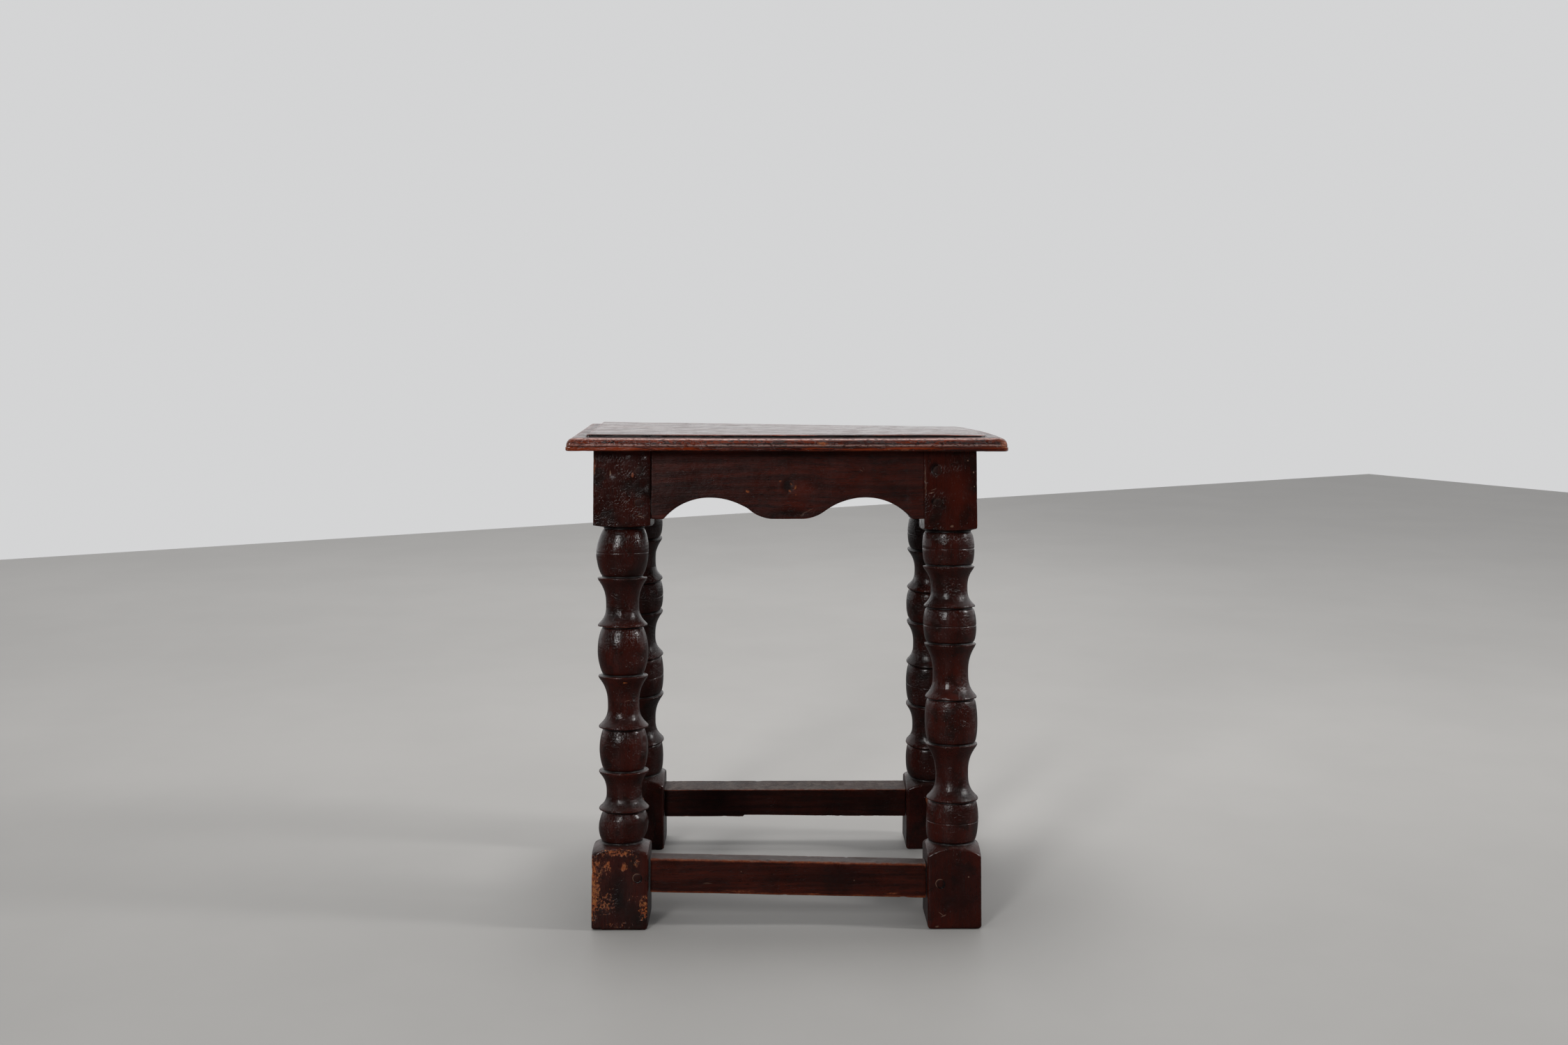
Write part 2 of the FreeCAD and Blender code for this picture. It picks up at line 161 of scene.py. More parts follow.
class Graph:
    """Shorthand for building a node tree."""

    def __init__(self, tree: Tree, made: Node | None = None) -> None:
        """Work on a tree, whose outputs the node called made takes if it is a group."""
        self.tree = tree
        self.made = made

    def put(self, socket: Socket, value: Value) -> None:
        """Link a socket to another, or set its value."""
        if isinstance(value, Socket):
            self.tree.links.new(value, socket)
        elif socket.type == "RGBA" and len(value) == 3:
            socket.default_value = (*value, 1.0)
        else:
            socket.default_value = value

    def give(self, name: str, value: Value) -> None:
        """Put a value out of the group."""
        self.put(self.made.inputs[name], value)

    def add(self, kind: str, inputs: Mapping[str | int, Value] | None = None, **settings: object) -> Node:
        """Add a node.

        Args:
            kind: The node's type.
            inputs: Values or links by socket name or number.
            settings: Properties of the node, set before its inputs.

        Returns:
            The node.
        """
        node = self.tree.nodes.new(kind)
        for name, setting in settings.items():
            setattr(node, name, setting)
        for key, value in (inputs or {}).items():
            self.put(node.inputs[key], value)
        return node

    def math(self, operation: str, *values: Value, clamp: bool = False) -> Socket:
        """Return the result of a maths node."""
        numbers = dict(enumerate(values))
        return self.add("ShaderNodeMath", numbers, operation=operation, use_clamp=clamp).outputs[0]

    def times(self, *values: Value) -> Socket:
        """Return the product of the values."""
        return reduce(lambda first, second: self.math("MULTIPLY", first, second), values)

    def plus(self, *values: Value) -> Socket:
        """Return the sum of the values."""
        return reduce(lambda first, second: self.math("ADD", first, second), values)

    def minus(self, first: Value, second: Value) -> Socket:
        """Return the first value less the second."""
        return self.math("SUBTRACT", first, second)

    def over(self, first: Value, second: Value) -> Socket:
        """Return the first value divided by the second."""
        return self.math("DIVIDE", first, second)

    def vector(self, operation: str, *values: Value, output: str = "Vector") -> Socket:
        """Return what a vector maths node puts out."""
        return self.add("ShaderNodeVectorMath", dict(enumerate(values)), operation=operation).outputs[output]

    def scaled(self, vector: Value, scale: Value) -> Socket:
        """Return a vector times a number."""
        inputs = {"Vector": vector, "Scale": scale}
        return self.add("ShaderNodeVectorMath", inputs, operation="SCALE").outputs[0]

    def fade(self, value: Value, low: Value, high: Value, start: Value = 0.0, end: Value = 1.0) -> Socket:
        """Return a smooth step from start to end as the value goes from low to high."""
        limits = {"Value": value, "From Min": low, "From Max": high, "To Min": start, "To Max": end}
        return self.add("ShaderNodeMapRange", limits, interpolation_type="SMOOTHSTEP").outputs[0]

    def noise(self, vector: Value, scale: Value, detail: float = 2.0, roughness: float = 0.5) -> Socket:
        """Return a noise from about 0 to 1."""
        sizes = {"Vector": vector, "Scale": scale, "Detail": detail, "Roughness": roughness}
        return self.add("ShaderNodeTexNoise", sizes).outputs[0]

    def drawn_noise(
        self, vector: Value, scales: Triple, detail: float = 2.0, roughness: float = 0.5
    ) -> Socket:
        """Return a noise with a scale of its own along each axis."""
        return self.noise(self.vector("MULTIPLY", vector, scales), 1.0, detail, roughness)

    def noise_vector(self, vector: Value, scale: float) -> Socket:
        """Return three noises round zero, to warp a pattern with."""
        colour = self.add("ShaderNodeTexNoise", {"Vector": vector, "Scale": scale, "Detail": 3.0}).outputs[1]
        return self.vector("SUBTRACT", colour, (0.5, 0.5, 0.5))

    def mix(self, factor: Value, first: Value, second: Value) -> Socket:
        """Return a mix of two colours."""
        return self.add("ShaderNodeMix", {0: factor, 6: first, 7: second}, data_type="RGBA").outputs[2]

    def join(self, x: Value, y: Value, z: Value) -> Socket:
        """Return a vector of three numbers."""
        return self.add("ShaderNodeCombineXYZ", {0: x, 1: y, 2: z}).outputs[0]

    def split(self, vector: Value) -> tuple[Socket, Socket, Socket]:
        """Return the three numbers of a vector."""
        return tuple(self.add("ShaderNodeSeparateXYZ", {0: vector}).outputs)

    def attribute(self, name: str) -> Socket:
        """Return in a material a value that the piece keeps at its points."""
        return self.add("ShaderNodeAttribute", attribute_name=name).outputs["Fac"]

    def named(self, name: str, data_type: str = "FLOAT") -> Socket:
        """Return in a Geometry Nodes tree a value that the geometry keeps at its points."""
        return self.add("GeometryNodeInputNamedAttribute", {"Name": name}, data_type=data_type).outputs[0]

    def keep(self, geometry: Socket, name: str, value: Value) -> Socket:
        """Return the geometry with a value kept at its points."""
        kept = {"Geometry": geometry, "Name": name, "Value": value}
        node = self.add("GeometryNodeStoreNamedAttribute", kept, data_type="FLOAT", domain="POINT")
        return node.outputs[0]

    def group(self, tree: Tree, **inputs: Value) -> bpy.types.NodeOutputs:
        """Place a shader group, with its inputs by name, and return its outputs."""
        return self.add("ShaderNodeGroup", inputs, node_tree=tree).outputs


class Kind(Enum):
    """The kinds of socket that the groups use."""

    NUMBER = "NodeSocketFloat"
    COUNT = "NodeSocketInt"
    VECTOR = "NodeSocketVector"
    GEOMETRY = "NodeSocketGeometry"
    MATERIAL = "NodeSocketMaterial"


def new_group(
    name: str, tree_type: str, inputs: Mapping[str, Value | Kind], outputs: Mapping[str, Kind]
) -> tuple[Graph, dict[str, Socket]]:
    """Start a node group.

    Args:
        name: The group's name.
        tree_type: The type of its tree.
        inputs: Kind of each input by name, or its default value where it is a number or a count.
        outputs: Kind of each output by name.

    Returns:
        The graph and the group's inputs by name.
    """
    tree = bpy.data.node_groups.new(name, tree_type)
    for label, given in inputs.items():
        kind = given if isinstance(given, Kind) else Kind.COUNT if isinstance(given, int) else Kind.NUMBER
        socket = tree.interface.new_socket(name=label, in_out="INPUT", socket_type=kind.value)
        if kind is not given:
            socket.default_value = given
    for label, kind in outputs.items():
        tree.interface.new_socket(name=label, in_out="OUTPUT", socket_type=kind.value)
    graph = Graph(tree, tree.nodes.new("NodeGroupOutput"))
    return graph, {socket.name: socket for socket in graph.add("NodeGroupInput").outputs if socket.name}


class ShaderGroups:
    """The effects that the finishes share, each built once."""

    def __init__(self) -> None:
        """Build every group."""
        self.grain = self.make_grain()
        self.wax = self.make_wax()
        self.wear = self.make_wear()
        self.dust = self.make_dust()
        self.flake = self.make_flake()
        self.mark = self.make_mark()

    @staticmethod
    def start(
        name: str, inputs: Mapping[str, Value | Kind], *outputs: str
    ) -> tuple[Graph, dict[str, Socket]]:
        """Start a shader group that reads a place, as new_group does, and puts out numbers."""
        inputs = {"Vector": Kind.VECTOR, **inputs}
        return new_group(name, "ShaderNodeTree", inputs, dict.fromkeys(outputs, Kind.NUMBER))

    def make_grain(self) -> Tree:
        """Build the oak's grain. Its vector has x along the grain, in metres."""
        graph, given = self.start("oak_grain", {"Seed": 0.0}, "Fibre", "Pores", "Figure")
        seed = graph.times(given["Seed"], 0.37)
        start = graph.vector("ADD", given["Vector"], graph.join(seed, seed, seed))
        sway = graph.minus(graph.noise(start, 9.0, 2.0), 0.5)
        bent = graph.vector("ADD", start, graph.scaled(graph.join(0.0, 1.0, 1.0), graph.times(sway, 0.012)))
        fibre = graph.drawn_noise(bent, (16.0, 620.0, 620.0), 4.0, 0.6)
        pores = graph.drawn_noise(bent, (120.0, 1500.0, 1500.0), 1.0)
        broad = graph.drawn_noise(bent, (7.0, 46.0, 46.0), 3.0)
        streaks = graph.drawn_noise(bent, (9.0, 240.0, 240.0), 2.0)
        figure = graph.plus(graph.times(broad, 0.55), graph.times(streaks, 0.45))
        graph.give("Fibre", graph.fade(fibre, 0.3, 0.7))
        graph.give("Pores", graph.fade(pores, 0.58, 0.68))
        graph.give("Figure", graph.fade(figure, 0.36, 0.64))
        return graph.tree

    def make_wax(self) -> Tree:
        """Build the old wax: smears that change the gloss, and a fine uneven skin with pits."""
        graph, given = self.start("old_wax", {"Crackle": 1.0, "Skin": 0.3 * MM}, "Smear", "Height")
        place = given["Vector"]
        skin = graph.times(graph.noise(place, 190.0, 3.0, 0.5), given["Skin"])
        warped = graph.vector("ADD", place, graph.scaled(graph.noise_vector(place, 300.0), 1.6 * MM))
        cells = {"Vector": warped, "Scale": 330.0}
        rim = graph.add("ShaderNodeTexVoronoi", cells, feature="DISTANCE_TO_EDGE").outputs["Distance"]
        patch = graph.fade(graph.noise(place, 55.0, 3.0), 0.48, 0.66)
        crack = graph.times(graph.fade(rim, 0.02, 0.14, 1.0, 0.0), patch)
        pits = graph.fade(graph.noise(place, 620.0, 2.0), 0.58, 0.72)
        hollow = graph.plus(graph.times(crack, 0.16 * MM), graph.times(pits, 0.12 * MM))
        graph.give("Smear", graph.fade(graph.noise(place, 38.0, 5.0, 0.65), 0.3, 0.7))
        graph.give("Height", graph.minus(skin, graph.times(hollow, given["Crackle"])))
        return graph.tree

    def make_wear(self) -> Tree:
        """Build the rubbed edges: a mask where an edge stands out and hands and feet have worn it."""
        graph, given = self.start("edge_wear", {"Edge": 0.0, "Amount": 0.5}, "Mask", "Bare")
        edge = given["Edge"]
        patchy = graph.minus(graph.noise(given["Vector"], 60.0, 5.0, 0.7), 0.5)
        reach = graph.plus(graph.times(edge, 0.75), graph.times(patchy, 1.3))
        level = graph.plus(reach, graph.minus(given["Amount"], 0.5))
        graph.give("Mask", graph.times(graph.fade(level, 0.4, 0.85), graph.fade(edge, 0.08, 0.5)))
        graph.give("Bare", graph.times(graph.fade(level, 0.85, 1.0), graph.fade(edge, 0.25, 0.6)))
        return graph.tree

    def make_dust(self) -> Tree:
        """Build the grey dust that lies on faces that look up, near the floor."""
        graph, given = self.start("settled_dust", {"Amount": 0.5, "Ceiling": 0.1}, "Mask")
        up = graph.split(graph.add("ShaderNodeNewGeometry").outputs["Normal"])[2]
        height = graph.split(given["Vector"])[2]
        near_floor = graph.fade(height, graph.minus(given["Ceiling"], 12 * MM), given["Ceiling"], 1.0, 0.0)
        patchy = graph.fade(graph.noise(given["Vector"], 150.0, 6.0, 0.75), 0.35, 0.7, 0.1, 1.0)
        mask = graph.times(graph.fade(up, 0.35, 0.9), near_floor, patchy)
        graph.give("Mask", graph.math("MULTIPLY", mask, given["Amount"], clamp=True))
        return graph.tree

    def make_flake(self) -> Tree:
        """Build a flaked finish: crisp ragged islands of bare wood that grow where the bias is high."""
        graph, given = self.start("flaked_finish", {"Bias": 0.0}, "Mask", "Rim")
        tall = graph.vector("MULTIPLY", given["Vector"], (1.0, 1.0, 0.82))
        ragged = graph.minus(graph.noise(tall, 400.0, 8.0, 0.75), 0.5)
        level = graph.plus(graph.times(ragged, 2.3), graph.plus(given["Bias"], 0.5))
        graph.give("Mask", graph.fade(level, 0.67, 0.70))
        graph.give("Rim", graph.fade(level, 0.60, 0.67))
        return graph.tree

    def make_mark(self) -> Tree:
        """Build one local mark: a turned ellipsoid with a soft outline."""
        inputs = {"Centre": Kind.VECTOR, "Size": Kind.VECTOR, "Turn": Kind.VECTOR, "Softness": 0.3}
        graph, given = self.start("local_mark", inputs, "Mask")
        into = {"Vector": given["Vector"], "Location": given["Centre"], "Rotation": given["Turn"],
                "Scale": given["Size"]}
        inside = graph.add("ShaderNodeMapping", into, vector_type="TEXTURE").outputs[0]
        away = graph.vector("LENGTH", inside, output="Value")
        graph.give("Mask", graph.fade(away, graph.minus(1.0, given["Softness"]), 1.0, 1.0, 0.0))
        return graph.tree


class Grain(Enum):
    """Which way a piece's grain runs."""

    ACROSS_STOOL = "x"
    FRONT_TO_BACK = "y"
    UP = "z"


class MarkKind(Enum):
    """What a local mark shows."""

    BARE = "bare wood, orange"
    # Also the painted highlight on a peg's rim
    PALE = "a pale nick or rub"
    # Also painted shadow, as along the lower part of the top's lip
    BRUISE = "a dark bruise or hole"
    # Painted shade beside a peg's painted highlight
    SHADE = "the dark beside a pale rim"
    RED = "redder, thinner stain"
    FLAKED = "a place where the finish flakes off"
    ROUGH = "a scarred, pitted place"


@dataclass(frozen=True)
class Mark:
    """One local mark. Sizes and places are in millimetres, the turn about the y axis in degrees."""

    kind: MarkKind
    at: Triple
    size: Triple
    softness: float = 0.5
    strength: float = 1.0
    turn: float = 0.0
    crisp: bool = False


def marks(kind: MarkKind, *rows: tuple) -> tuple[Mark, ...]:
    """Return marks of one kind, each row a place and a size, and then softness, strength and turn."""
    return tuple(Mark(kind, *row) for row in rows)


@dataclass(frozen=True)
class Finish:
    """How one piece's oak looks. Colours are linear, and strengths and covers run from 0 to 1."""

    name: str
    grain: Grain
    seed: float
    lean: float = 0.0
    dark: Triple = (0.0130, 0.0042, 0.0034)
    red: Triple = (0.0620, 0.0110, 0.0062)
    worn: Triple = (0.1500, 0.0320, 0.0120)
    rubbed_deep: Triple = (0.0300, 0.0036, 0.0022)
    rubbed: Triple = (0.2600, 0.0320, 0.0040)
    bare: Triple = (0.4500, 0.1120, 0.0180)
    # Pale nicks, and the painted highlight on pegs' rims
    nicked: Triple = (0.22, 0.13, 0.09)
    # The painted highlight along the top's moulding
    glint: Triple = (0.6000, 0.3700, 0.3200)
    streak: Triple = (0.1700, 0.0560, 0.0300)
    grimed: Triple = (0.0052, 0.0046, 0.0036)
    pore: Triple = (0.003, 0.0018, 0.0016)
    pit: Triple = (0.0040, 0.0022, 0.0020)
    # The painted shade in hollows and along the top's quirk, riser and fillet
    sunk: Triple = (0.0022, 0.0014, 0.0012)
    dust: Triple = (0.1500, 0.1250, 0.1120)
    dust_ceiling: float = 130 * MM
    gloss: float = 0.15
    ior: float = 1.5
    bloom: float = 0.0
    redness: float = 0.5
    figured: float = 0.16
    blotchy: float = 0.2
    grime: float = 0.3
    fibrous: float = 0.3
    tooth: float = 1.0
    relief: float = 1.0
    skin: float = 0.3 * MM
    roughness: float = 0.34
    crackle: float = 1.0
    wear: float = 0.5
    dusty: float = 0.0
    flaking: float = 0.0
    worn_cover: float = 0.8
    bare_cover: float = 0.75
    rubbed_cover: float = 0.9
    pit_cover: float = 0.85
    # How strongly hollows take the painted shade
    hollow_cover: float = 0.85
    scar_cover: float = 0.7
    rim_cover: float = 0.55
    block_crackle: float = 0.4
    marks: tuple[Mark, ...] = ()

    def make(self, groups: ShaderGroups) -> Material:
        """Build the material.

        Args:
            groups: The shared effects.

        Returns:
            The material.
        """
        material = bpy.data.materials.new(self.name)
        material.use_nodes = True
        graph = Graph(material.node_tree)
        here = Surface(graph, self, groups)
        shader = graph.tree.nodes["Principled BSDF"]
        graph.put(shader.inputs["Base Color"], self.colour(graph, here))
        graph.put(shader.inputs["Roughness"], self.rough(graph, here))
        shader.inputs["Specular IOR Level"].default_value = self.gloss
        shader.inputs["IOR"].default_value = self.ior
        height = {"Height": self.height(graph, here), "Distance": 1.0, "Strength": 1.0}
        graph.put(shader.inputs["Normal"], graph.add("ShaderNodeBump", height).outputs["Normal"])
        return material

    def colour(self, graph: Graph, here: "Surface") -> Socket:
        """Return the stained colour with the wear, the marks and the dust over it."""
        colour = self.stain(graph, here)
        colour = graph.mix(graph.times(here.wear["Mask"], self.worn_cover), colour, self.worn)
        colour = graph.mix(graph.times(here.wear["Bare"], self.bare_cover), colour, here.bare)
        if MarkKind.FLAKED in here.masks:
            colour = graph.mix(graph.times(here.flake_rim, self.rim_cover), colour, self.worn)
            colour = graph.mix(here.flaked, colour, here.bare)
        tones = {
            MarkKind.RED: self.red, MarkKind.BRUISE: BLACKENED_AND_SHADE, MarkKind.BARE: here.bare,
            MarkKind.PALE: self.nicked, MarkKind.SHADE: BLACKENED_AND_SHADE,
        }
        for kind, tone in tones.items():
            if kind in here.masks:
                colour = graph.mix(here.masks[kind], colour, tone)
        if MarkKind.ROUGH in here.masks:
            colour = graph.mix(graph.times(here.scars, self.scar_cover), colour, BLACKENED_AND_SHADE)
        return graph.mix(here.dust, colour, self.dust)

    def stain(self, graph: Graph, here: "Surface") -> Socket:
        """Return the stained colour: red where the stain is thin, near black where it has gathered, with a
        painted highlight along the moulding's crest and painted shade in hollows and grooves.
        """
        place, figure, fibre = here.place, here.grain["Figure"], here.grain["Fibre"]
        thin = graph.fade(figure, 0.0, 1.0, self.redness - self.figured, self.redness + self.figured)
        blotch = graph.minus(graph.noise(place, 24.0, 3.0, 0.6), 0.5)
        thin = graph.math("ADD", thin, graph.times(blotch, self.blotchy * 4.0), clamp=True)
        colour = graph.mix(thin, self.dark, self.red)
        elsewhere = graph.vector("ADD", place, (0.31, self.seed, 0.17))
        grimy = graph.fade(graph.noise(elsewhere, 42.0, 4.0, 0.62), 0.5, 0.66)
        colour = graph.mix(graph.times(grimy, self.grime), colour, self.grimed)
        colour = graph.mix(graph.fade(fibre, 0.0, 1.0, self.fibrous, 0.0), colour, self.dark)
        colour = graph.mix(graph.times(here.grain["Pores"], self.fibrous * 1.8), colour, self.pore)
        glowing = graph.mix(graph.fade(graph.plus(figure, fibre), 0.5, 1.5), self.rubbed_deep, self.rubbed)
        colour = graph.mix(graph.times(here.rubbed, self.rubbed_cover), colour, glowing)
        colour = graph.mix(graph.times(here.pits, self.pit_cover), colour, self.pit)
        # Painted highlight: pale glints along the moulding's crest, fainter at the back
        colour = graph.mix(graph.times(here.crest, here.glints(graph)), colour, self.glint)
        if self.bloom:
            streaks = graph.fade(graph.drawn_noise(place, (9.0, 120.0, 120.0), 5.0, 0.7), 0.44, 0.66)
            flat = graph.fade(here.rubbed, 0.0, 0.1, self.bloom, 0.0)
            colour = graph.mix(graph.times(flat, streaks), colour, self.streak)
        # Painted shade: darker in the hollows and along the quirk, the riser and the fillet
        sunk = graph.math("MAXIMUM", graph.times(here.hollow, self.hollow_cover), here.groove, clamp=True)
        return graph.mix(sunk, colour, self.sunk)

    def rough(self, graph: Graph, here: "Surface") -> Socket:
        """Return the roughness: the smeared wax, duller where it is bare, dusty or hollow."""
        rough = graph.plus(self.roughness, graph.times(graph.minus(here.wax["Smear"], 0.5), 0.16))
        for mask, more in (
            (here.flaked, 0.28), (here.dust, 0.3), (here.wear["Mask"], 0.04), (here.hollow, 0.15),
            (here.masks.get(MarkKind.BARE, 0.0), 0.2), (here.groove, 0.12),
        ):
            rough = graph.plus(rough, graph.times(mask, more))
        return graph.math("MINIMUM", rough, 0.95)

    def height(self, graph: Graph, here: "Surface") -> Socket:
        """Return the height of the surface: the skin of wax, less every pore, scar, pit and ring."""
        deeper = graph.fade(here.rubbed, 0.0, 0.4, self.relief, 2.0)
        relief = graph.minus(deeper, graph.fade(here.rubbed, 0.5, 0.9, 0.0, 1.5))
        height = graph.times(here.wax["Height"], relief)
        for mask, depth in (
            (here.rings, 0.06), (here.grain["Pores"], self.tooth * 0.05),
            (here.grain["Fibre"], self.tooth * 0.03), (here.flake_rim, 0.25),
            (here.masks.get(MarkKind.BRUISE, 0.0), 0.6),
            (here.masks.get(MarkKind.PALE, 0.0), 0.2), (here.scars, 0.09), (here.pits, 0.4),
        ):
            height = graph.minus(height, graph.times(mask, depth * MM))
        return height


class Surface:
    """What a finish reads at each place of its piece: the place, the piece's own values and every mask."""

    def __init__(self, graph: Graph, finish: Finish, groups: ShaderGroups) -> None:
        """Read the place and the piece's values, and work out the masks.

        Args:
            graph: The material's graph.
            finish: The finish.
            groups: The shared effects.
        """
        place = self.place = graph.add("ShaderNodeTexCoord").outputs["Object"]
        self.hollow = graph.attribute("hollow")
        self.rubbed = graph.attribute("rubbed")
        # Painted shade along the top's quirk, riser and fillet
        self.groove = graph.attribute("groove")
        # Where the painted highlight runs along the top's moulding
        self.crest = graph.attribute("crest")
        edge = graph.attribute("edge")
        crackle, self.rings = self.turned_effects(graph, finish)
        self.grain = graph.group(groups.grain, Vector=self.along_grain(graph, finish), Seed=finish.seed)
        self.wax = graph.group(groups.wax, Vector=place, Crackle=crackle, Skin=finish.skin)
        self.wear = graph.group(groups.wear, Vector=place, Edge=edge, Amount=finish.wear)
        dust = graph.group(groups.dust, Vector=place, Amount=finish.dusty, Ceiling=finish.dust_ceiling)
        self.dust = dust["Mask"]
        self.masks = self.mark_masks(graph, finish, groups)
        self.flaked, self.flake_rim, self.scars = 0.0, 0.0, 0.0
        if MarkKind.FLAKED in self.masks:
            there = self.masks[MarkKind.FLAKED]
            readily = graph.plus(graph.times(there, finish.flaking), graph.times(edge, there, 0.12))
            flake = graph.group(groups.flake, Vector=place, Bias=graph.minus(readily, 0.34))
            self.flaked, self.flake_rim = flake["Mask"], flake["Rim"]
        if MarkKind.ROUGH in self.masks:
            dents = graph.fade(graph.noise(place, 170.0, 4.0, 0.6), 0.48, 0.72)
            self.scars = graph.times(dents, self.masks[MarkKind.ROUGH])
        self.pits = self.pitting(graph)
        self.bare = self.bare_tone(graph, finish)

    def turned_effects(self, graph: Graph, finish: Finish) -> tuple[Value, Value]:
        """Return how crackled the wax is, less so on a leg's blocks, and the rings of the turner's tool."""
        if finish.grain is not Grain.UP:
            return finish.crackle, 0.0
        turned = graph.attribute("turned")
        rings = graph.fade(graph.drawn_noise(self.place, (9.0, 9.0, 420.0), 3.0, 0.6), 0.35, 0.7)
        on_block = finish.crackle * finish.block_crackle
        crackle = graph.fade(turned, 0.0, 1.0, on_block, finish.crackle)
        return crackle, graph.times(rings, turned)

    def along_grain(self, graph: Graph, finish: Finish) -> Socket:
        """Return the place with x along the grain, in metres."""
        place = self.place
        if finish.lean:
            leaning = {"Vector": place, "Rotation": (finish.lean, 0.0, 0.0)}
            place = graph.add("ShaderNodeMapping", leaning).outputs[0]
        x, y, z = graph.split(place)
        turned = {Grain.ACROSS_STOOL: (x, y, z), Grain.FRONT_TO_BACK: (y, x, z), Grain.UP: (z, x, y)}
        return graph.join(*turned[finish.grain])

    def mark_masks(self, graph: Graph, finish: Finish, groups: ShaderGroups) -> dict[MarkKind, Socket]:
        """Return one mask for each kind of mark that the piece has."""
        masks: dict[MarkKind, Socket] = {}
        if not finish.marks:
            return masks
        warp = graph.scaled(graph.noise_vector(self.place, 210.0), 3.2 * MM)
        ragged = graph.vector("ADD", self.place, warp)
        for mark in finish.marks:
            mask = graph.group(
                groups.mark, Vector=self.place if mark.crisp else ragged,
                Centre=tuple(c * MM for c in mark.at), Size=tuple(s * MM for s in mark.size),
                Turn=(0.0, math.radians(mark.turn), 0.0), Softness=mark.softness,
            )["Mask"]
            mask = graph.times(mask, mark.strength)
            masks[mark.kind] = graph.math("MAXIMUM", masks[mark.kind], mask) if mark.kind in masks else mask
        return masks

    def pitting(self, graph: Graph) -> Socket:
        """Return the pits of the old finish along the moulding."""
        drawn_out = graph.vector("MULTIPLY", self.place, (0.42, 1.0, 1.0))
        pits = graph.fade(graph.noise(drawn_out, 520.0, 3.0, 0.6), 0.5, 0.6)
        broad = graph.vector("MULTIPLY", self.place, (0.3, 1.0, 1.0))
        patchy = graph.fade(graph.noise(broad, 95.0, 2.0), 0.36, 0.56)
        there = graph.times(graph.fade(self.rubbed, 0.15, 0.5), graph.fade(self.rubbed, 0.55, 0.9, 1.0, 0.25))
        return graph.times(pits, patchy, there)

    def glints(self, graph: Graph) -> Socket:
        """Return the painted highlight's fine glints along the crest, fainter away from the front."""
        fine = graph.fade(graph.drawn_noise(self.place, (260.0, 900.0, 900.0), 4.0, 0.7), 0.40, 0.52)
        return graph.times(fine, graph.fade(graph.split(self.place)[1], -0.125, -0.08, 1.0, 0.3))

    def bare_tone(self, graph: Graph, finish: Finish) -> Socket:
        """Return the colour of bare wood, uneven and darker along its fibres."""
        uneven = graph.fade(graph.noise(self.place, 330.0, 5.0, 0.75), 0.4, 0.6)
        fiery = graph.fade(graph.noise(self.place, 95.0, 2.0), 0.42, 0.58)
        pale = tuple(channel * tint for channel, tint in zip(finish.bare, (1.0, 1.35, 1.9)))
        deep = tuple(channel * tint for channel, tint in zip(finish.bare, (0.34, 0.22, 0.3)))
        tone = graph.mix(uneven, deep, graph.mix(fiery, finish.bare, pale))
        return graph.mix(graph.fade(self.grain["Fibre"], 0.0, 1.0, 0.45, 0.0), tone, finish.worn)


@dataclass(frozen=True)
class Wear:
    """How a piece's surface is worn. Depths are in metres, scales in waves or dents per metre."""

    wave_depth: float = 0.35 * MM
    dent_depth: float = 0.5 * MM
    dent_share: float = 0.25
    chip_depth: float = 0.8 * MM
    wave_scale: float = 26.0
    dent_scale: float = 55.0
    chip_scale: float = 85.0
    edge_height: float = 0.42 * MM
    seed: float = 0.0

    def inputs(self) -> dict[str, float]:
        """Return the values by the names of the tree's inputs, such as Wave Depth."""
        return {name.replace("_", " ").title(): value for name, value in vars(self).items()}


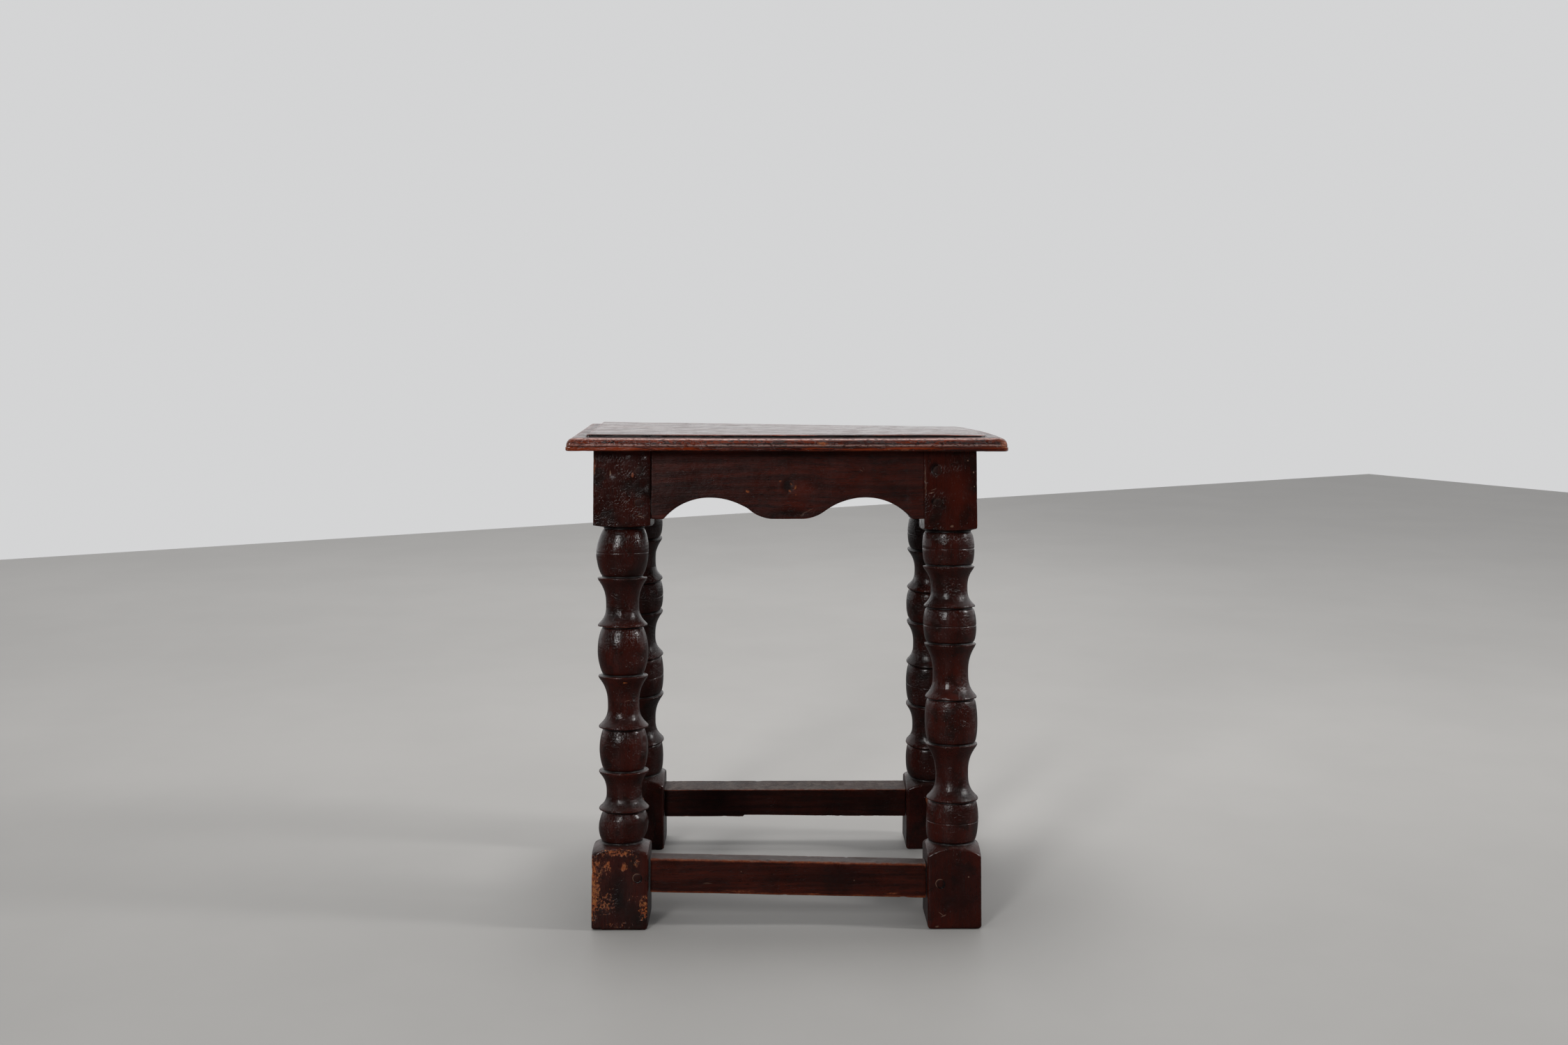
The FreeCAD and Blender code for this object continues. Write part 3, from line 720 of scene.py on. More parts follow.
class GeometryGroups:
    """The Geometry Nodes trees, each built once."""

    def __init__(self) -> None:
        """Build every tree."""
        self.turning = self.make_turning()
        self.wearing = self.make_wearing()
        self.pegs = self.make_pegs()

    @staticmethod
    def start(name: str, inputs: Mapping[str, Value]) -> tuple[Graph, dict[str, Socket]]:
        """Start a Geometry Nodes tree that takes and makes geometry, as new_group does."""
        inputs = {"Geometry": Kind.GEOMETRY, **inputs, "Material": Kind.MATERIAL}
        return new_group(name, "GeometryNodeTree", inputs, {"Geometry": Kind.GEOMETRY})

    @staticmethod
    def end(graph: Graph, geometry: Socket, given: Mapping[str, Socket]) -> Tree:
        """End a tree in plain geometry with its material, and return it."""
        real = graph.add("GeometryNodeRealizeInstances", {"Geometry": geometry}).outputs[0]
        dressed = graph.add("GeometryNodeSetMaterial", {"Geometry": real, "Material": given["Material"]})
        graph.give("Geometry", dressed.outputs[0])
        return graph.tree

    def make_turning(self) -> Tree:
        """Build the tree that makes a leg from its profile.

        Its geometry is a line of points, one for each row of the leg: x is the turned radius, y how far the
        axis sways and z the height. Where a point's block value is 1, the square section cuts the round one.

        Returns:
            The tree.
        """
        graph, given = self.start("turned_leg", {
            "Columns": 176, "Half Stock": STOCK / 2, "Rake Tangent": math.tan(RAKE),
            "Arris Softness": 3.2 * MM, "Corner Bunching": 0.12,
        })
        line = given["Geometry"]
        counts = graph.add("GeometryNodeAttributeDomainSize", {0: line}, component="MESH").outputs
        rows = counts["Point Count"]
        size = {"Vertices X": graph.plus(given["Columns"], 1.0), "Vertices Y": rows}
        grid = graph.add("GeometryNodeMeshGrid", size).outputs["Mesh"]
        number = graph.add("GeometryNodeInputIndex").outputs[0]
        row = graph.math("MODULO", number, rows)

        def of_row(value: Socket, data_type: str = "FLOAT") -> Socket:
            """Return a value of the line's point for this row."""
            inputs = {"Geometry": line, "Value": value, "Index": row}
            node = graph.add("GeometryNodeSampleIndex", inputs, data_type=data_type, domain="POINT")
            return node.outputs[0]

        point = graph.add("GeometryNodeInputPosition").outputs[0]
        radius, sway, height = graph.split(of_row(point, "FLOAT_VECTOR"))
        half_width, squareness, inset, block, level = (
            of_row(graph.named(name)) for name in ("half_width", "squareness", "inset", "block", "level")
        )
        share = graph.over(graph.math("FLOOR", graph.over(number, rows)), given["Columns"])
        even = graph.times(share, math.tau)
        bunched = graph.times(graph.math("SINE", graph.times(even, 4.0)), given["Corner Bunching"])
        angle = graph.plus(even, bunched)
        cosine, sine = graph.math("COSINE", angle), graph.math("SINE", angle)
        across = graph.over(graph.math("ABSOLUTE", cosine), half_width)
        along = graph.over(graph.math("ABSOLUTE", sine), given["Half Stock"])
        larger = graph.math("MAXIMUM", across, along)
        ratio = graph.math("POWER", graph.over(graph.math("MINIMUM", across, along), larger), squareness)
        corner = graph.math("POWER", graph.plus(ratio, 1.0), graph.over(1.0, squareness))
        square = graph.over(1.0, graph.times(larger, corner))
        cut = graph.math("SMOOTH_MIN", square, radius, given["Arris Softness"])
        reach = graph.plus(radius, graph.times(graph.minus(cut, radius), block))
        reach = graph.math("MAXIMUM", graph.minus(reach, inset), 0.0)
        y = graph.times(reach, sine)
        drop = graph.times(y, given["Rake Tangent"], level)
        place = graph.join(graph.plus(graph.times(reach, cosine), sway), y, graph.minus(height, drop))
        shaped = graph.add("GeometryNodeSetPosition", {"Geometry": grid, "Position": place}).outputs[0]
        kept = graph.keep(shaped, "turned", graph.minus(1.0, block))
        seam = {"Geometry": kept, "Distance": SEAM}
        closed = graph.add("GeometryNodeMergeByDistance", seam).outputs[0]
        outwards = graph.add("GeometryNodeFlipFaces", {0: closed}).outputs[0]
        smooth = graph.add("GeometryNodeSetShadeSmooth", {"Geometry": outwards}).outputs[0]
        return self.end(graph, smooth, given)

    def make_wearing(self) -> Tree:
        """Build the tree that wears a piece, only ever inwards, and records its edges and hollows."""
        graph, given = self.start("worn_surface", Wear().inputs())
        position = graph.add("GeometryNodeInputPosition").outputs[0]
        normal = graph.add("GeometryNodeInputNormal").outputs[0]
        blurring = {"Value": position, "Iterations": 7}
        blurred = graph.add("GeometryNodeBlurAttribute", blurring, data_type="FLOAT_VECTOR").outputs[0]
        out = graph.vector("DOT_PRODUCT", graph.vector("SUBTRACT", position, blurred), normal, output="Value")
        standing = graph.over(out, given["Edge Height"])
        kept = graph.keep(given["Geometry"], "edge", graph.math("MAXIMUM", standing, 0.0, clamp=True))
        kept = graph.keep(kept, "hollow", graph.math("MULTIPLY", standing, -1.0, clamp=True))
        edge = graph.named("edge")
        shift = graph.times(given["Seed"], 0.731)
        place = graph.vector("ADD", position, graph.join(shift, shift, shift))
        wave = graph.times(graph.noise(place, given["Wave Scale"], 2.0), given["Wave Depth"])
        scale = {"Vector": place, "Scale": given["Dent Scale"]}
        cells = graph.add("ShaderNodeTexVoronoi", scale, feature="F1").outputs
        chosen = graph.math("LESS_THAN", graph.split(cells["Color"])[0], given["Dent Share"])
        dent = graph.times(graph.fade(cells["Distance"], 0.05, 0.32, 1.0, 0.0), chosen, given["Dent Depth"])
        broken = graph.fade(graph.noise(place, given["Chip Scale"], 3.0, 0.6), 0.56, 0.72)
        chip = graph.times(broken, graph.fade(edge, 0.25, 0.8), given["Chip Depth"])
        inwards = graph.scaled(normal, graph.times(graph.plus(wave, dent, chip), -1.0))
        worn = graph.add("GeometryNodeSetPosition", {"Geometry": kept, "Offset": inwards}).outputs[0]
        return self.end(graph, worn, given)

    def make_pegs(self) -> Tree:
        """Build the tree that drives a whittled peg in at each point, along the point's direction."""
        graph, given = self.start("driven_pegs", {
            "Radius": 3.9 * MM, "Length": 12 * MM, "Dome": 0.35 * MM, "Sides": 22, "Unevenness": 0.25 * MM,
            "Seed": 3,
        })
        length, radius = given["Length"], given["Radius"]
        size = {
            "Vertices": given["Sides"], "Fill Segments": 4, "Side Segments": 3, "Radius": radius,
            "Depth": length,
        }
        peg = graph.add("GeometryNodeMeshCylinder", size, fill_type="TRIANGLE_FAN").outputs["Mesh"]
        position = graph.add("GeometryNodeInputPosition").outputs[0]
        x, y, z = graph.split(position)
        flat = graph.join(x, y, 0.0)
        out = graph.over(graph.vector("LENGTH", flat, output="Value"), radius)
        head = graph.times(graph.math("POWER", out, 5.0), given["Dome"])
        drop = graph.times(head, graph.fade(z, 0.0, graph.times(length, 0.49)), -1.0)
        whittled = graph.minus(graph.noise(position, 330.0, 1.0), 0.5)
        wobble = graph.scaled(flat, graph.over(graph.times(whittled, given["Unevenness"]), radius))
        sunk = graph.join(0.0, 0.0, graph.minus(drop, graph.times(length, 0.5)))
        moved = {"Geometry": peg, "Offset": graph.vector("ADD", wobble, sunk)}
        shaped = graph.add("GeometryNodeSetPosition", moved).outputs[0]
        direction = {"Vector": graph.named("direction", "FLOAT_VECTOR")}
        facing = graph.add("FunctionNodeAlignRotationToVector", direction, axis="Z").outputs[0]
        turn = {2: 0.0, 3: math.tau, "Seed": given["Seed"]}
        angle = graph.add("FunctionNodeRandomValue", turn, data_type="FLOAT").outputs[1]
        about = {"Axis": (0.0, 0.0, 1.0), "Angle": angle}
        turns = {0: facing, 1: graph.add("FunctionNodeAxisAngleToRotation", about).outputs[0]}
        spun = graph.add("FunctionNodeRotateRotation", turns, rotation_space="LOCAL").outputs[0]
        driving = {"Points": given["Geometry"], "Instance": shaped, "Rotation": spun}
        return self.end(graph, graph.add("GeometryNodeInstanceOnPoints", driving).outputs[0], given)


@dataclass
class Workshop:
    """What every piece is made with: the node groups."""

    shaders: ShaderGroups = field(default_factory=ShaderGroups)
    geometry: GeometryGroups = field(default_factory=GeometryGroups)

    def grow(
        self, piece: bpy.types.Object, tree: Tree, values: Mapping[str, Value], material: Material
    ) -> None:
        """Run a Geometry Nodes tree on a piece and keep its result as the piece's plain mesh.

        Args:
            piece: The piece, whose mesh the tree takes.
            tree: The tree.
            values: The tree's inputs by name.
            material: The material that the tree sets.
        """
        modifier = piece.modifiers.new(tree.name, "NODES")
        modifier.node_group = tree
        values = {**values, "Material": material}
        for item in tree.interface.items_tree:
            if item.in_out == "INPUT" and item.name in values:
                modifier[item.identifier] = values[item.name]
        bpy.context.view_layer.update()
        graph = bpy.context.evaluated_depsgraph_get()
        mesh = bpy.data.meshes.new_from_object(piece.evaluated_get(graph), depsgraph=graph)
        piece.modifiers.remove(modifier)
        old = piece.data
        piece.data = mesh
        mesh.name = piece.name
        bpy.data.meshes.remove(old)

    def hand_over(self, piece: bpy.types.Object, slot: Slot, *nodes: str) -> None:
        """Tell the frame what a finished piece rides on and stands for: hang it on the root body, hide those
        nodes and log it.
        """
        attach(piece, "root")
        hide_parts(*nodes)
        log.info("%s: %d faces, stands for %s", piece.name, len(piece.data.polygons), ", ".join(nodes))


def new_piece(name: str, data: bpy.types.ID) -> bpy.types.Object:
    """Link a mesh, a light or a camera into the scene as an object at the origin."""
    piece = bpy.data.objects.new(name, data)
    bpy.context.scene.collection.objects.link(piece)
    return piece


def keep_values(mesh: bpy.types.Mesh, name: str, values: np.ndarray) -> None:
    """Keep a value at each point of a mesh."""
    mesh.attributes.new(name, "FLOAT", "POINT").data.foreach_set("value", values.astype(np.float32))


def ring_mesh(
    name: str, rings: np.ndarray, capped: bool, bands: Mapping[str, Iterable[float]] | None = None
) -> bpy.types.Mesh:
    """Make a closed mesh from rings of points.

    Args:
        name: The mesh's name.
        rings: Points as ring, place in the ring, and x, y and z.
        capped: Whether the first and last ring are closed with a face.
        bands: Values from 0 to 1, one for each ring, by the name of the attribute that keeps them.

    Returns:
        The mesh, its doubles merged and its faces outwards.
    """
    count, around, _ = rings.shape
    index = np.arange(count * around).reshape(count, around)
    here, there = index[:-1], index[1:]
    quads = np.stack([here, np.roll(here, -1, 1), np.roll(there, -1, 1), there], -1).reshape(-1, 4).tolist()
    caps = [index[0][::-1].tolist(), index[-1].tolist()] if capped else []
    mesh = bpy.data.meshes.new(name)
    mesh.from_pydata(rings.reshape(-1, 3).tolist(), [], quads + caps)
    for label, values in (bands or {}).items():
        keep_values(mesh, label, np.repeat(np.array(list(values)), around))
    shell = bmesh.new()
    shell.from_mesh(mesh)
    bmesh.ops.remove_doubles(shell, verts=shell.verts, dist=MERGED)
    bmesh.ops.recalc_face_normals(shell, faces=shell.faces)
    for face in shell.faces:
        face.smooth = True
    shell.to_mesh(mesh)
    shell.free()
    return mesh


def spaced(length: float, step: float) -> int:
    """Return how many steps of about the given size a length holds."""
    return max(2, math.ceil(abs(length) / step))


def columns(points: Iterable[tuple]) -> list[np.ndarray]:
    """Return the columns of a list of points."""
    return [np.array(column) for column in zip(*points)]


def peg_direction(side: Side | None) -> Vector:
    """Return the way that the heads of a frame's pegs look, or those of the top's pegs."""
    if side is None:
        return Vector((0.0, 0.0, 1.0))
    return (side.place.to_3x3() @ Vector((0.0, 1.0, 0.0))).normalized()


def peg_heads(node: str, out: Vector) -> list[Vector]:
    """Return the middle of the outer end of each peg, worked out from the construction's own pegs.

    Args:
        node: The node of the pegs.
        out: The way that their heads look.

    Returns:
        A point for each peg.
    """
    shell = bmesh.new()
    shell.from_mesh(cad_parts[node].data)
    bmesh.ops.remove_doubles(shell, verts=shell.verts, dist=MERGED)
    left = set(shell.verts)
    heads = []
    while left:
        start = min(left, key=lambda vertex: tuple(round(c, 5) for c in vertex.co))
        found, edge = {start}, [start]
        while edge:
            vertex = edge.pop()
            for other in (link.other_vert(vertex) for link in vertex.link_edges):
                if other not in found:
                    found.add(other)
                    edge.append(other)
        left -= found
        near = max(vertex.co.dot(out) for vertex in found) - HEAD_DEPTH
        ring = [vertex.co for vertex in shell.verts if vertex in found and vertex.co.dot(out) > near]
        heads.append(sum(ring, Vector()) / len(ring))
    shell.free()
    return heads


@dataclass(frozen=True)
class TurnedLeg:
    """One leg, turned by eye. Its shares are those of the construction, in the order from the top down."""

    node: str
    side: Side
    end: int
    head_share: float
    foot_share: float
    reel_shares: tuple[Pair, ...]
    ball_shares: tuple[float, ...]
    waist_shares: tuple[float, ...]
    collar_share: float
    neck_share: float
    finish: Finish
    wear: Wear
    sway: tuple[Pair, ...] = ((0, 0.0), (486, 0.0))
    scribed_balls: tuple[int, ...] = ()
    fullness: float = 0.42
    foot_width_share: float = 1.0
    waist_height_share: float = 0.57
    neck_width: float = 3 * MM
    collar_width: float = 2.2 * MM
    collar_rounding: float = 0.45 * MM
    reel_curves: Pair = (2.5, 2.9)
    scribe_depth: float = 0.45 * MM
    scribe_width: float = 0.7 * MM
    foot_rounding: float = 3.4 * MM
    row_step: float = 1.25 * MM
    shoulder_step: float = 0.55 * MM
    block_step: float = 1.9 * MM
    foot_squareness: float = 22.0
    head_squareness: float = 34.0
    foot_drops: Pair = (2.2 * MM, 11 * MM)
    head_drops: Pair = (1.3 * MM, 3 * MM)
    peg_rim: float = 4.9

    @property
    def head(self) -> float:
        """The height up the leg where the head block begins."""
        return AXIS_LENGTH - HEAD_BLOCK * self.head_share

    @property
    def foot(self) -> float:
        """The height up the leg where the foot block ends."""
        return FOOT_BLOCK * self.foot_share

    @property
    def neck(self) -> float:
        """The radius of the narrow cut beside each ball."""
        return STOCK / 2 * self.neck_share

    def ball(self, number: int, top: float, low: float) -> list[Pair]:
        """Return one ball's radius and height, from the top down."""
        girth = STOCK / 2 * self.ball_shares[number]
        length = top - low
        shares = (1 - np.cos(np.linspace(0.0, math.pi, spaced(length, self.row_step) + 4))) / 2
        if number in self.scribed_balls:
            near = np.linspace(-1.0, 1.0, 9) * self.scribe_width * 1.5 / length
            shares = np.unique(np.concatenate([shares, 0.5 + near]))
        swell = np.sin(math.pi * np.clip(shares, 0.0, 1.0)) ** self.fullness
        radii = self.neck + (girth - self.neck) * swell
        if number in self.scribed_balls:
            radii -= self.scribe_depth * np.exp(-(((shares - 0.5) * length / self.scribe_width) ** 2) * 2)
        return list(zip(radii, top - shares * length))

    def reel(self, number: int, top: float, low: float) -> list[Pair]:
        """Return one reel's radius and height, from the top down, its waist a little under the middle."""
        collar = STOCK / 2 * self.collar_share
        waist = STOCK / 2 * self.waist_shares[number]
        shares = np.linspace(0.0, 1.0, spaced(top - low, self.row_step))
        middle = self.waist_height_share
        away = np.where(shares < middle, (middle - shares) / middle, (shares - middle) / (1 - middle))
        radii = waist + (collar - waist) * away ** np.where(shares < middle, *self.reel_curves)
        return list(zip(radii, top - shares * (top - low)))

    def collar(self, top: float) -> list[Pair]:
        """Return one collar's radius and height, from the top down, its rim a little rounded."""
        shares = np.linspace(0.06, 0.94, 7)
        radii = STOCK / 2 * self.collar_share - self.collar_rounding * np.abs(2 * shares - 1) ** 3
        return list(zip(radii, top - shares * self.collar_width))

    def turned(self) -> list[Pair]:
        """Return the turned stretch's radius and height, from the head block down to the foot block."""
        length = self.head - self.foot
        here = self.head
        line = [(self.neck, here)]
        for number in range(len(self.ball_shares)):
            here -= self.neck_width / 2
            last = number == len(self.reel_shares)
            if last:
                low = self.foot + self.neck_width / 2
            else:
                reel_top, reel_foot = (self.head - share * length for share in self.reel_shares[number])
                low = reel_top + self.collar_width + self.neck_width / 2
            line += self.ball(number, here, low)
            here = low - self.neck_width / 2
            line.append((self.neck, here))
            if not last:
                line += self.collar(here)
                line += self.reel(number, reel_top, reel_foot)[1:-1]
                line += self.collar(reel_foot)
                here = reel_foot - self.collar_width
                line.append((self.neck, here))
        return line

    def shoulder(self, drops: Pair, depths: np.ndarray) -> np.ndarray:
        """Return the radius of a block's turned shoulder at depths into the block."""
        corner = math.hypot(leg_width(self.node), STOCK) / 2
        radii, falls = (self.neck, STOCK / 2, corner), (0.0, *drops)
        steep = np.interp(depths, falls, radii)
        inside = steep
        if drops[1] > 2 * drops[0]:
            inside = np.maximum(np.polyval(np.polyfit(falls, radii, 2), depths), steep)
        return np.where(depths > drops[1], corner + (depths - drops[1]), inside)

    def block_rows(self, tip: float, root: float, drops: Pair) -> list[Pair]:
        """Return a block's radius and height, from its turned shoulder to its far end."""
        away = 1 if root > tip else -1
        zone = drops[1] * 1.5
        fine = np.linspace(0.0, zone, spaced(zone, self.shoulder_step))[1:]
        far = abs(root - tip)
        plain = np.linspace(zone, far - self.foot_rounding, spaced(far - zone, self.block_step))[1:]
        last = far - self.foot_rounding * np.array([0.8, 0.6, 0.42, 0.27, 0.15, 0.06, 0.0])
        depths = np.concatenate([fine, plain, last])
        return list(zip(self.shoulder(drops, depths), tip + away * depths))

    def profile(self) -> bpy.types.Mesh:
        """Make the line of points that the turning tree takes, from the top down."""
        head = self.block_rows(self.head, AXIS_LENGTH, self.head_drops)[::-1]
        foot = self.block_rows(self.foot, 0.0, self.foot_drops)
        turned = self.turned()
        rows = [(0.0, AXIS_LENGTH), *head, *turned, *foot, (0.0, 0.0)]
        radius, height = columns(rows)
        heights, offsets = (column * MM for column in columns(self.sway))
        sway = np.interp(height, heights, offsets) * (-1.0 if self.side is Side.FRONT else 1.0)
        width = leg_width(self.node) / 2
        rounding = self.foot_rounding
        low = np.clip(rounding - height, 0.0, rounding)
        in_foot = height < (self.head + self.foot) / 2
        level = np.clip(1 - height / self.foot, 0.0, 1.0)
        level += np.clip((height - self.head) / (AXIS_LENGTH - self.head), 0.0, 1.0)
        values = {
            "half_width": np.where(in_foot, width * self.foot_width_share, width),
            "squareness": np.where(in_foot, self.foot_squareness, self.head_squareness),
            "inset": np.where(height < rounding, rounding - np.sqrt(rounding ** 2 - low ** 2), 0.0),
            "block": np.array([1.0] * (len(head) + 1) + [0.0] * len(turned) + [1.0] * (len(foot) + 1)),
            "level": level,
        }
        mesh = bpy.data.meshes.new(self.node + "_profile")
        links = [(number, number + 1) for number in range(len(rows) - 1)]
        mesh.from_pydata(np.stack([radius, sway, height], 1).tolist(), links, [])
        for name, numbers in values.items():
            keep_values(mesh, name, numbers)
        return mesh

    def peg_marks(self) -> tuple[Mark, ...]:
        """Return a painted highlight and painted shade round each peg driven into this leg: a pale disc
        partly covered by a shifted dark one, which leaves a lit crescent.
        """
        low, high = (np.array(corner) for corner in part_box(self.node))
        rims = []
        for kind, pale, dark in (("apron_pegs", 0.12, 0.5), ("stretcher_pegs", 0.8, 1.0)):
            for head in (head for side in Side for head in peg_heads(side.node(kind), peg_direction(side))):
                at = np.array(head)
                if np.all(at > low - 2 * MM) and np.all(at < high + 2 * MM):
                    # Painted highlight and painted shade: the shifted dark disc leaves a pale crescent
                    pair = ((MarkKind.PALE, (0, 0, 0), pale), (MarkKind.SHADE, (0.9, 0, -0.7), dark))
                    for mark, shift, strength in pair:
                        spot = tuple(at / MM + np.array(shift))
                        rims.append(Mark(mark, spot, (self.peg_rim,) * 3, 0.12, strength, crisp=True))
        return tuple(rims)

    def make(self, shop: Workshop) -> None:
        """Turn the leg, stand it in its place and wear it."""
        pegged = replace(self.finish, marks=self.finish.marks + self.peg_marks())
        material = pegged.make(shop.shaders)
        piece = new_piece(self.node.replace("_leg", "_turned_leg"), self.profile())
        shop.grow(piece, shop.geometry.turning, {}, material)
        spot = Matrix.Translation((self.end * Side.LEFT.spread / 2, 0.0, 0.0))
        piece.data.transform(self.side.place @ spot)
        shop.grow(piece, shop.geometry.wearing, self.wear.inputs(), material)
        shop.hand_over(piece, Slot.TURNED, self.node)


@dataclass(frozen=True)
class Arch:
    """The shape of an apron's lower edge: arcs at the legs, and on a long apron an S to a flat drop."""

    rise: float = 22 * MM
    flat: float = 12.5 * MM
    drop_flat: float = 14 * MM
    peak_share: float = 0.57
    turn_share: float = 0.64
    step: float = 1.4 * MM

    def arc(self, centre: Pair, radius: float, start: float, end: float) -> list[Pair]:
        """Return points of an arc, its angle measured from straight up, towards +x."""
        angles = np.linspace(start, end, spaced(radius * (end - start), self.step) + 1)
        return [(centre[0] + radius * math.sin(a), centre[1] + radius * math.cos(a)) for a in angles]

    def level(self, start: float, end: float) -> list[Pair]:
        """Return points along a level stretch."""
        return [(x, 0.0) for x in np.linspace(start, end, spaced(end - start, self.step))]

    def radius(self, run: float) -> float:
        """Return the radius of an arc that rises the whole way over a run."""
        return (run ** 2 + self.rise ** 2) / (2 * self.rise)

    def bay(self, foot: float, peak: float, inner: float) -> list[Pair]:
        """Return the arch from a leg's flat to the drop, as x and rise, for a leg on the -x side."""
        run = peak - foot
        outer = self.radius(run)
        first = self.arc((peak, self.rise - outer), outer, -math.asin(run / outer), 0.0)
        inner_run = inner - peak
        turn = 2 * math.atan2(self.rise, inner_run)
        radii = inner_run / math.sin(turn)
        upper = radii * self.turn_share
        lower = radii - upper
        second = self.arc((peak, self.rise - upper), upper, 0.0, turn)
        third = [(inner - (x - inner), -z) for x, z in self.arc((inner, -lower), lower, 0.0, turn)][::-1]
        return first + second[1:] + third[1:]

    def edge(self, half: float, long: bool) -> list[Pair]:
        """Return the lower edge of an apron, as x and rise.

        Args:
            half: Half the apron's length between its legs.
            long: Whether it is a long apron, with two arches and a drop, or a side one with a single arch.

        Returns:
            The edge's points, from -x to +x.
        """
        if long:
            bay = self.bay(self.flat - half, -self.peak_share * half, -self.drop_flat)
            drop = self.level(-self.drop_flat, self.drop_flat)[1:-1]
            middle = [*bay, *drop, *[(-x, z) for x, z in bay[::-1]]]
        else:
            run = half - self.flat
            radius = self.radius(run)
            angle = math.asin(run / radius)
            middle = self.arc((0.0, self.rise - radius), radius, -angle, angle)
        return [*self.level(-half, self.flat - half), *middle, *self.level(half - self.flat, half)]


@dataclass(frozen=True)
class Rail:
    """One apron or stretcher, in the axes of its frame."""

    node: str
    side: Side
    height: float
    thickness: float
    setback: float
    low: float
    finish: Finish
    wear: Wear
    fall: float = 0.0
    arris: float = 1.2 * MM
    arch: Arch | None = None
    splinter: tuple[Pair, ...] = ((0.0, 0.0), (1.0, 0.0))
    step: float = 1.7 * MM
    end_rounding: float = 0.5 * MM
    end_reach: float = 1.2 / 250

    def shoulder(self, end: int, height: np.ndarray) -> np.ndarray:
        """Return the x of the leg's inner face at heights."""
        if self.side.raked:
            node = SIDE_LEGS[self.side][0 if end < 0 else 1]
            return end * (Side.LEFT.spread - leg_width(node)) / 2 + 0 * height
        across = STOCK / 2 / math.cos(RAKE) + math.tan(RAKE) * height
        return end * (Side.FRONT.spread / 2 - across)

    @property
    def outer(self) -> float:
        """The y of the outer face, set back from the slimmer of the two legs."""
        reach = STOCK if self.side.raked else min(leg_width(node) for node in SIDE_LEGS[self.side])
        return reach / 2 - self.setback

    def lower_edge(self) -> tuple[np.ndarray, np.ndarray]:
        """Return how far along the rail each station lies, from 0 to 1, and the height of its lower edge."""
        left, right = (float(self.shoulder(end, np.array(self.low))) for end in (-1, 1))
        if self.arch is None:
            shares = np.linspace(0.0, 1.0, spaced(right - left, self.step))
            heights = self.low + (shares - 0.5) * self.fall
        else:
            x, rise = columns(self.arch.edge((right - left) / 2, self.side.raked))
            heights = self.low + rise
            begin, finish = self.shoulder(-1, heights), self.shoulder(1, heights)
            shares = (x + (left + right) / 2 - begin) / (finish - begin)
        ends = np.array([0.3, 0.8, 1.4]) * MM / (right - left)
        more = np.concatenate([ends, 1 - ends])
        heights = np.concatenate([heights, np.interp(more, shares, heights)])
        shares, order = np.unique(np.concatenate([shares, more]).round(6), return_index=True)
        return shares, heights[order]

    def section(self) -> tuple[np.ndarray, np.ndarray, np.ndarray]:
        """Return the section's points: y from the middle, share of the height, and shift up from there."""
        half, arris = self.thickness / 2, self.arris
        face = np.linspace(0.0, 1.0, spaced(self.height, self.step))
        bends = np.linspace(0.0, math.pi / 2, 5)[1:-1]
        near, far = arris * np.cos(bends), arris * np.sin(bends)
        across = (half - arris) * np.linspace(-1.0, 1.0, spaced(self.thickness, 3 * MM))
        sides = (
            (0 * face + half, face, arris * (1 - 2 * face)), (half - arris + near, 1, far - arris),
            (across[::-1], 1, 0), (arris - half - far, 1, near - arris),
            (0 * face - half, face[::-1], arris * (2 * face - 1)), (arris - half - near, 0, arris - far),
            (across, 0, 0), (half - arris + far, 0, arris - near),
        )
        y, share, shift = ([np.broadcast_to(side[n], side[0].shape) for side in sides] for n in range(3))
        return np.concatenate(y), np.concatenate(share), np.concatenate(shift)

    def rings(self) -> np.ndarray:
        """Return the rail's rings of points, in the stool's axes."""
        shares, lows = self.lower_edge()
        y, rise, shift = self.section()
        from_end = np.minimum(shares, 1 - shares) / self.end_reach
        inset = self.end_rounding * np.clip(1 - from_end, 0.0, 1.0) ** 2
        ys = self.outer - self.thickness / 2 + y[None, :] * (1 - inset[:, None] / (self.thickness / 2))
        if self.arch is None:
            tops = (lows + self.height)[:, None] + 0 * ys
        elif self.side.raked:
            tops = (FRAME_TOP - ys * math.sin(RAKE)) / math.cos(RAKE)
        else:
            tops = FRAME_TOP + 0 * ys
        places, lifts = columns(self.splinter)
        bottoms = (lows + inset + np.interp(shares, places, lifts * MM))[:, None]
        zs = bottoms + rise[None, :] * (tops - bottoms) + shift[None, :]
        begin, finish = self.shoulder(-1, zs), self.shoulder(1, zs)
        xs = begin + shares[:, None] * (finish - begin)
        points = np.stack([xs, ys, zs, np.ones_like(xs)], -1)
        return (points @ np.array(self.side.place).T)[..., :3]

    def make(self, shop: Workshop) -> None:
        """Shape the rail, put it between its legs and wear it."""
        name = self.node.replace("_apron", "_shaped_apron").replace("_stretcher", "_worn_stretcher")
        piece = new_piece(name, ring_mesh(name, self.rings(), True))
        material = self.finish.make(shop.shaders)
        shop.grow(piece, shop.geometry.wearing, self.wear.inputs(), material)
        shop.hand_over(piece, Slot.RAIL, self.node)


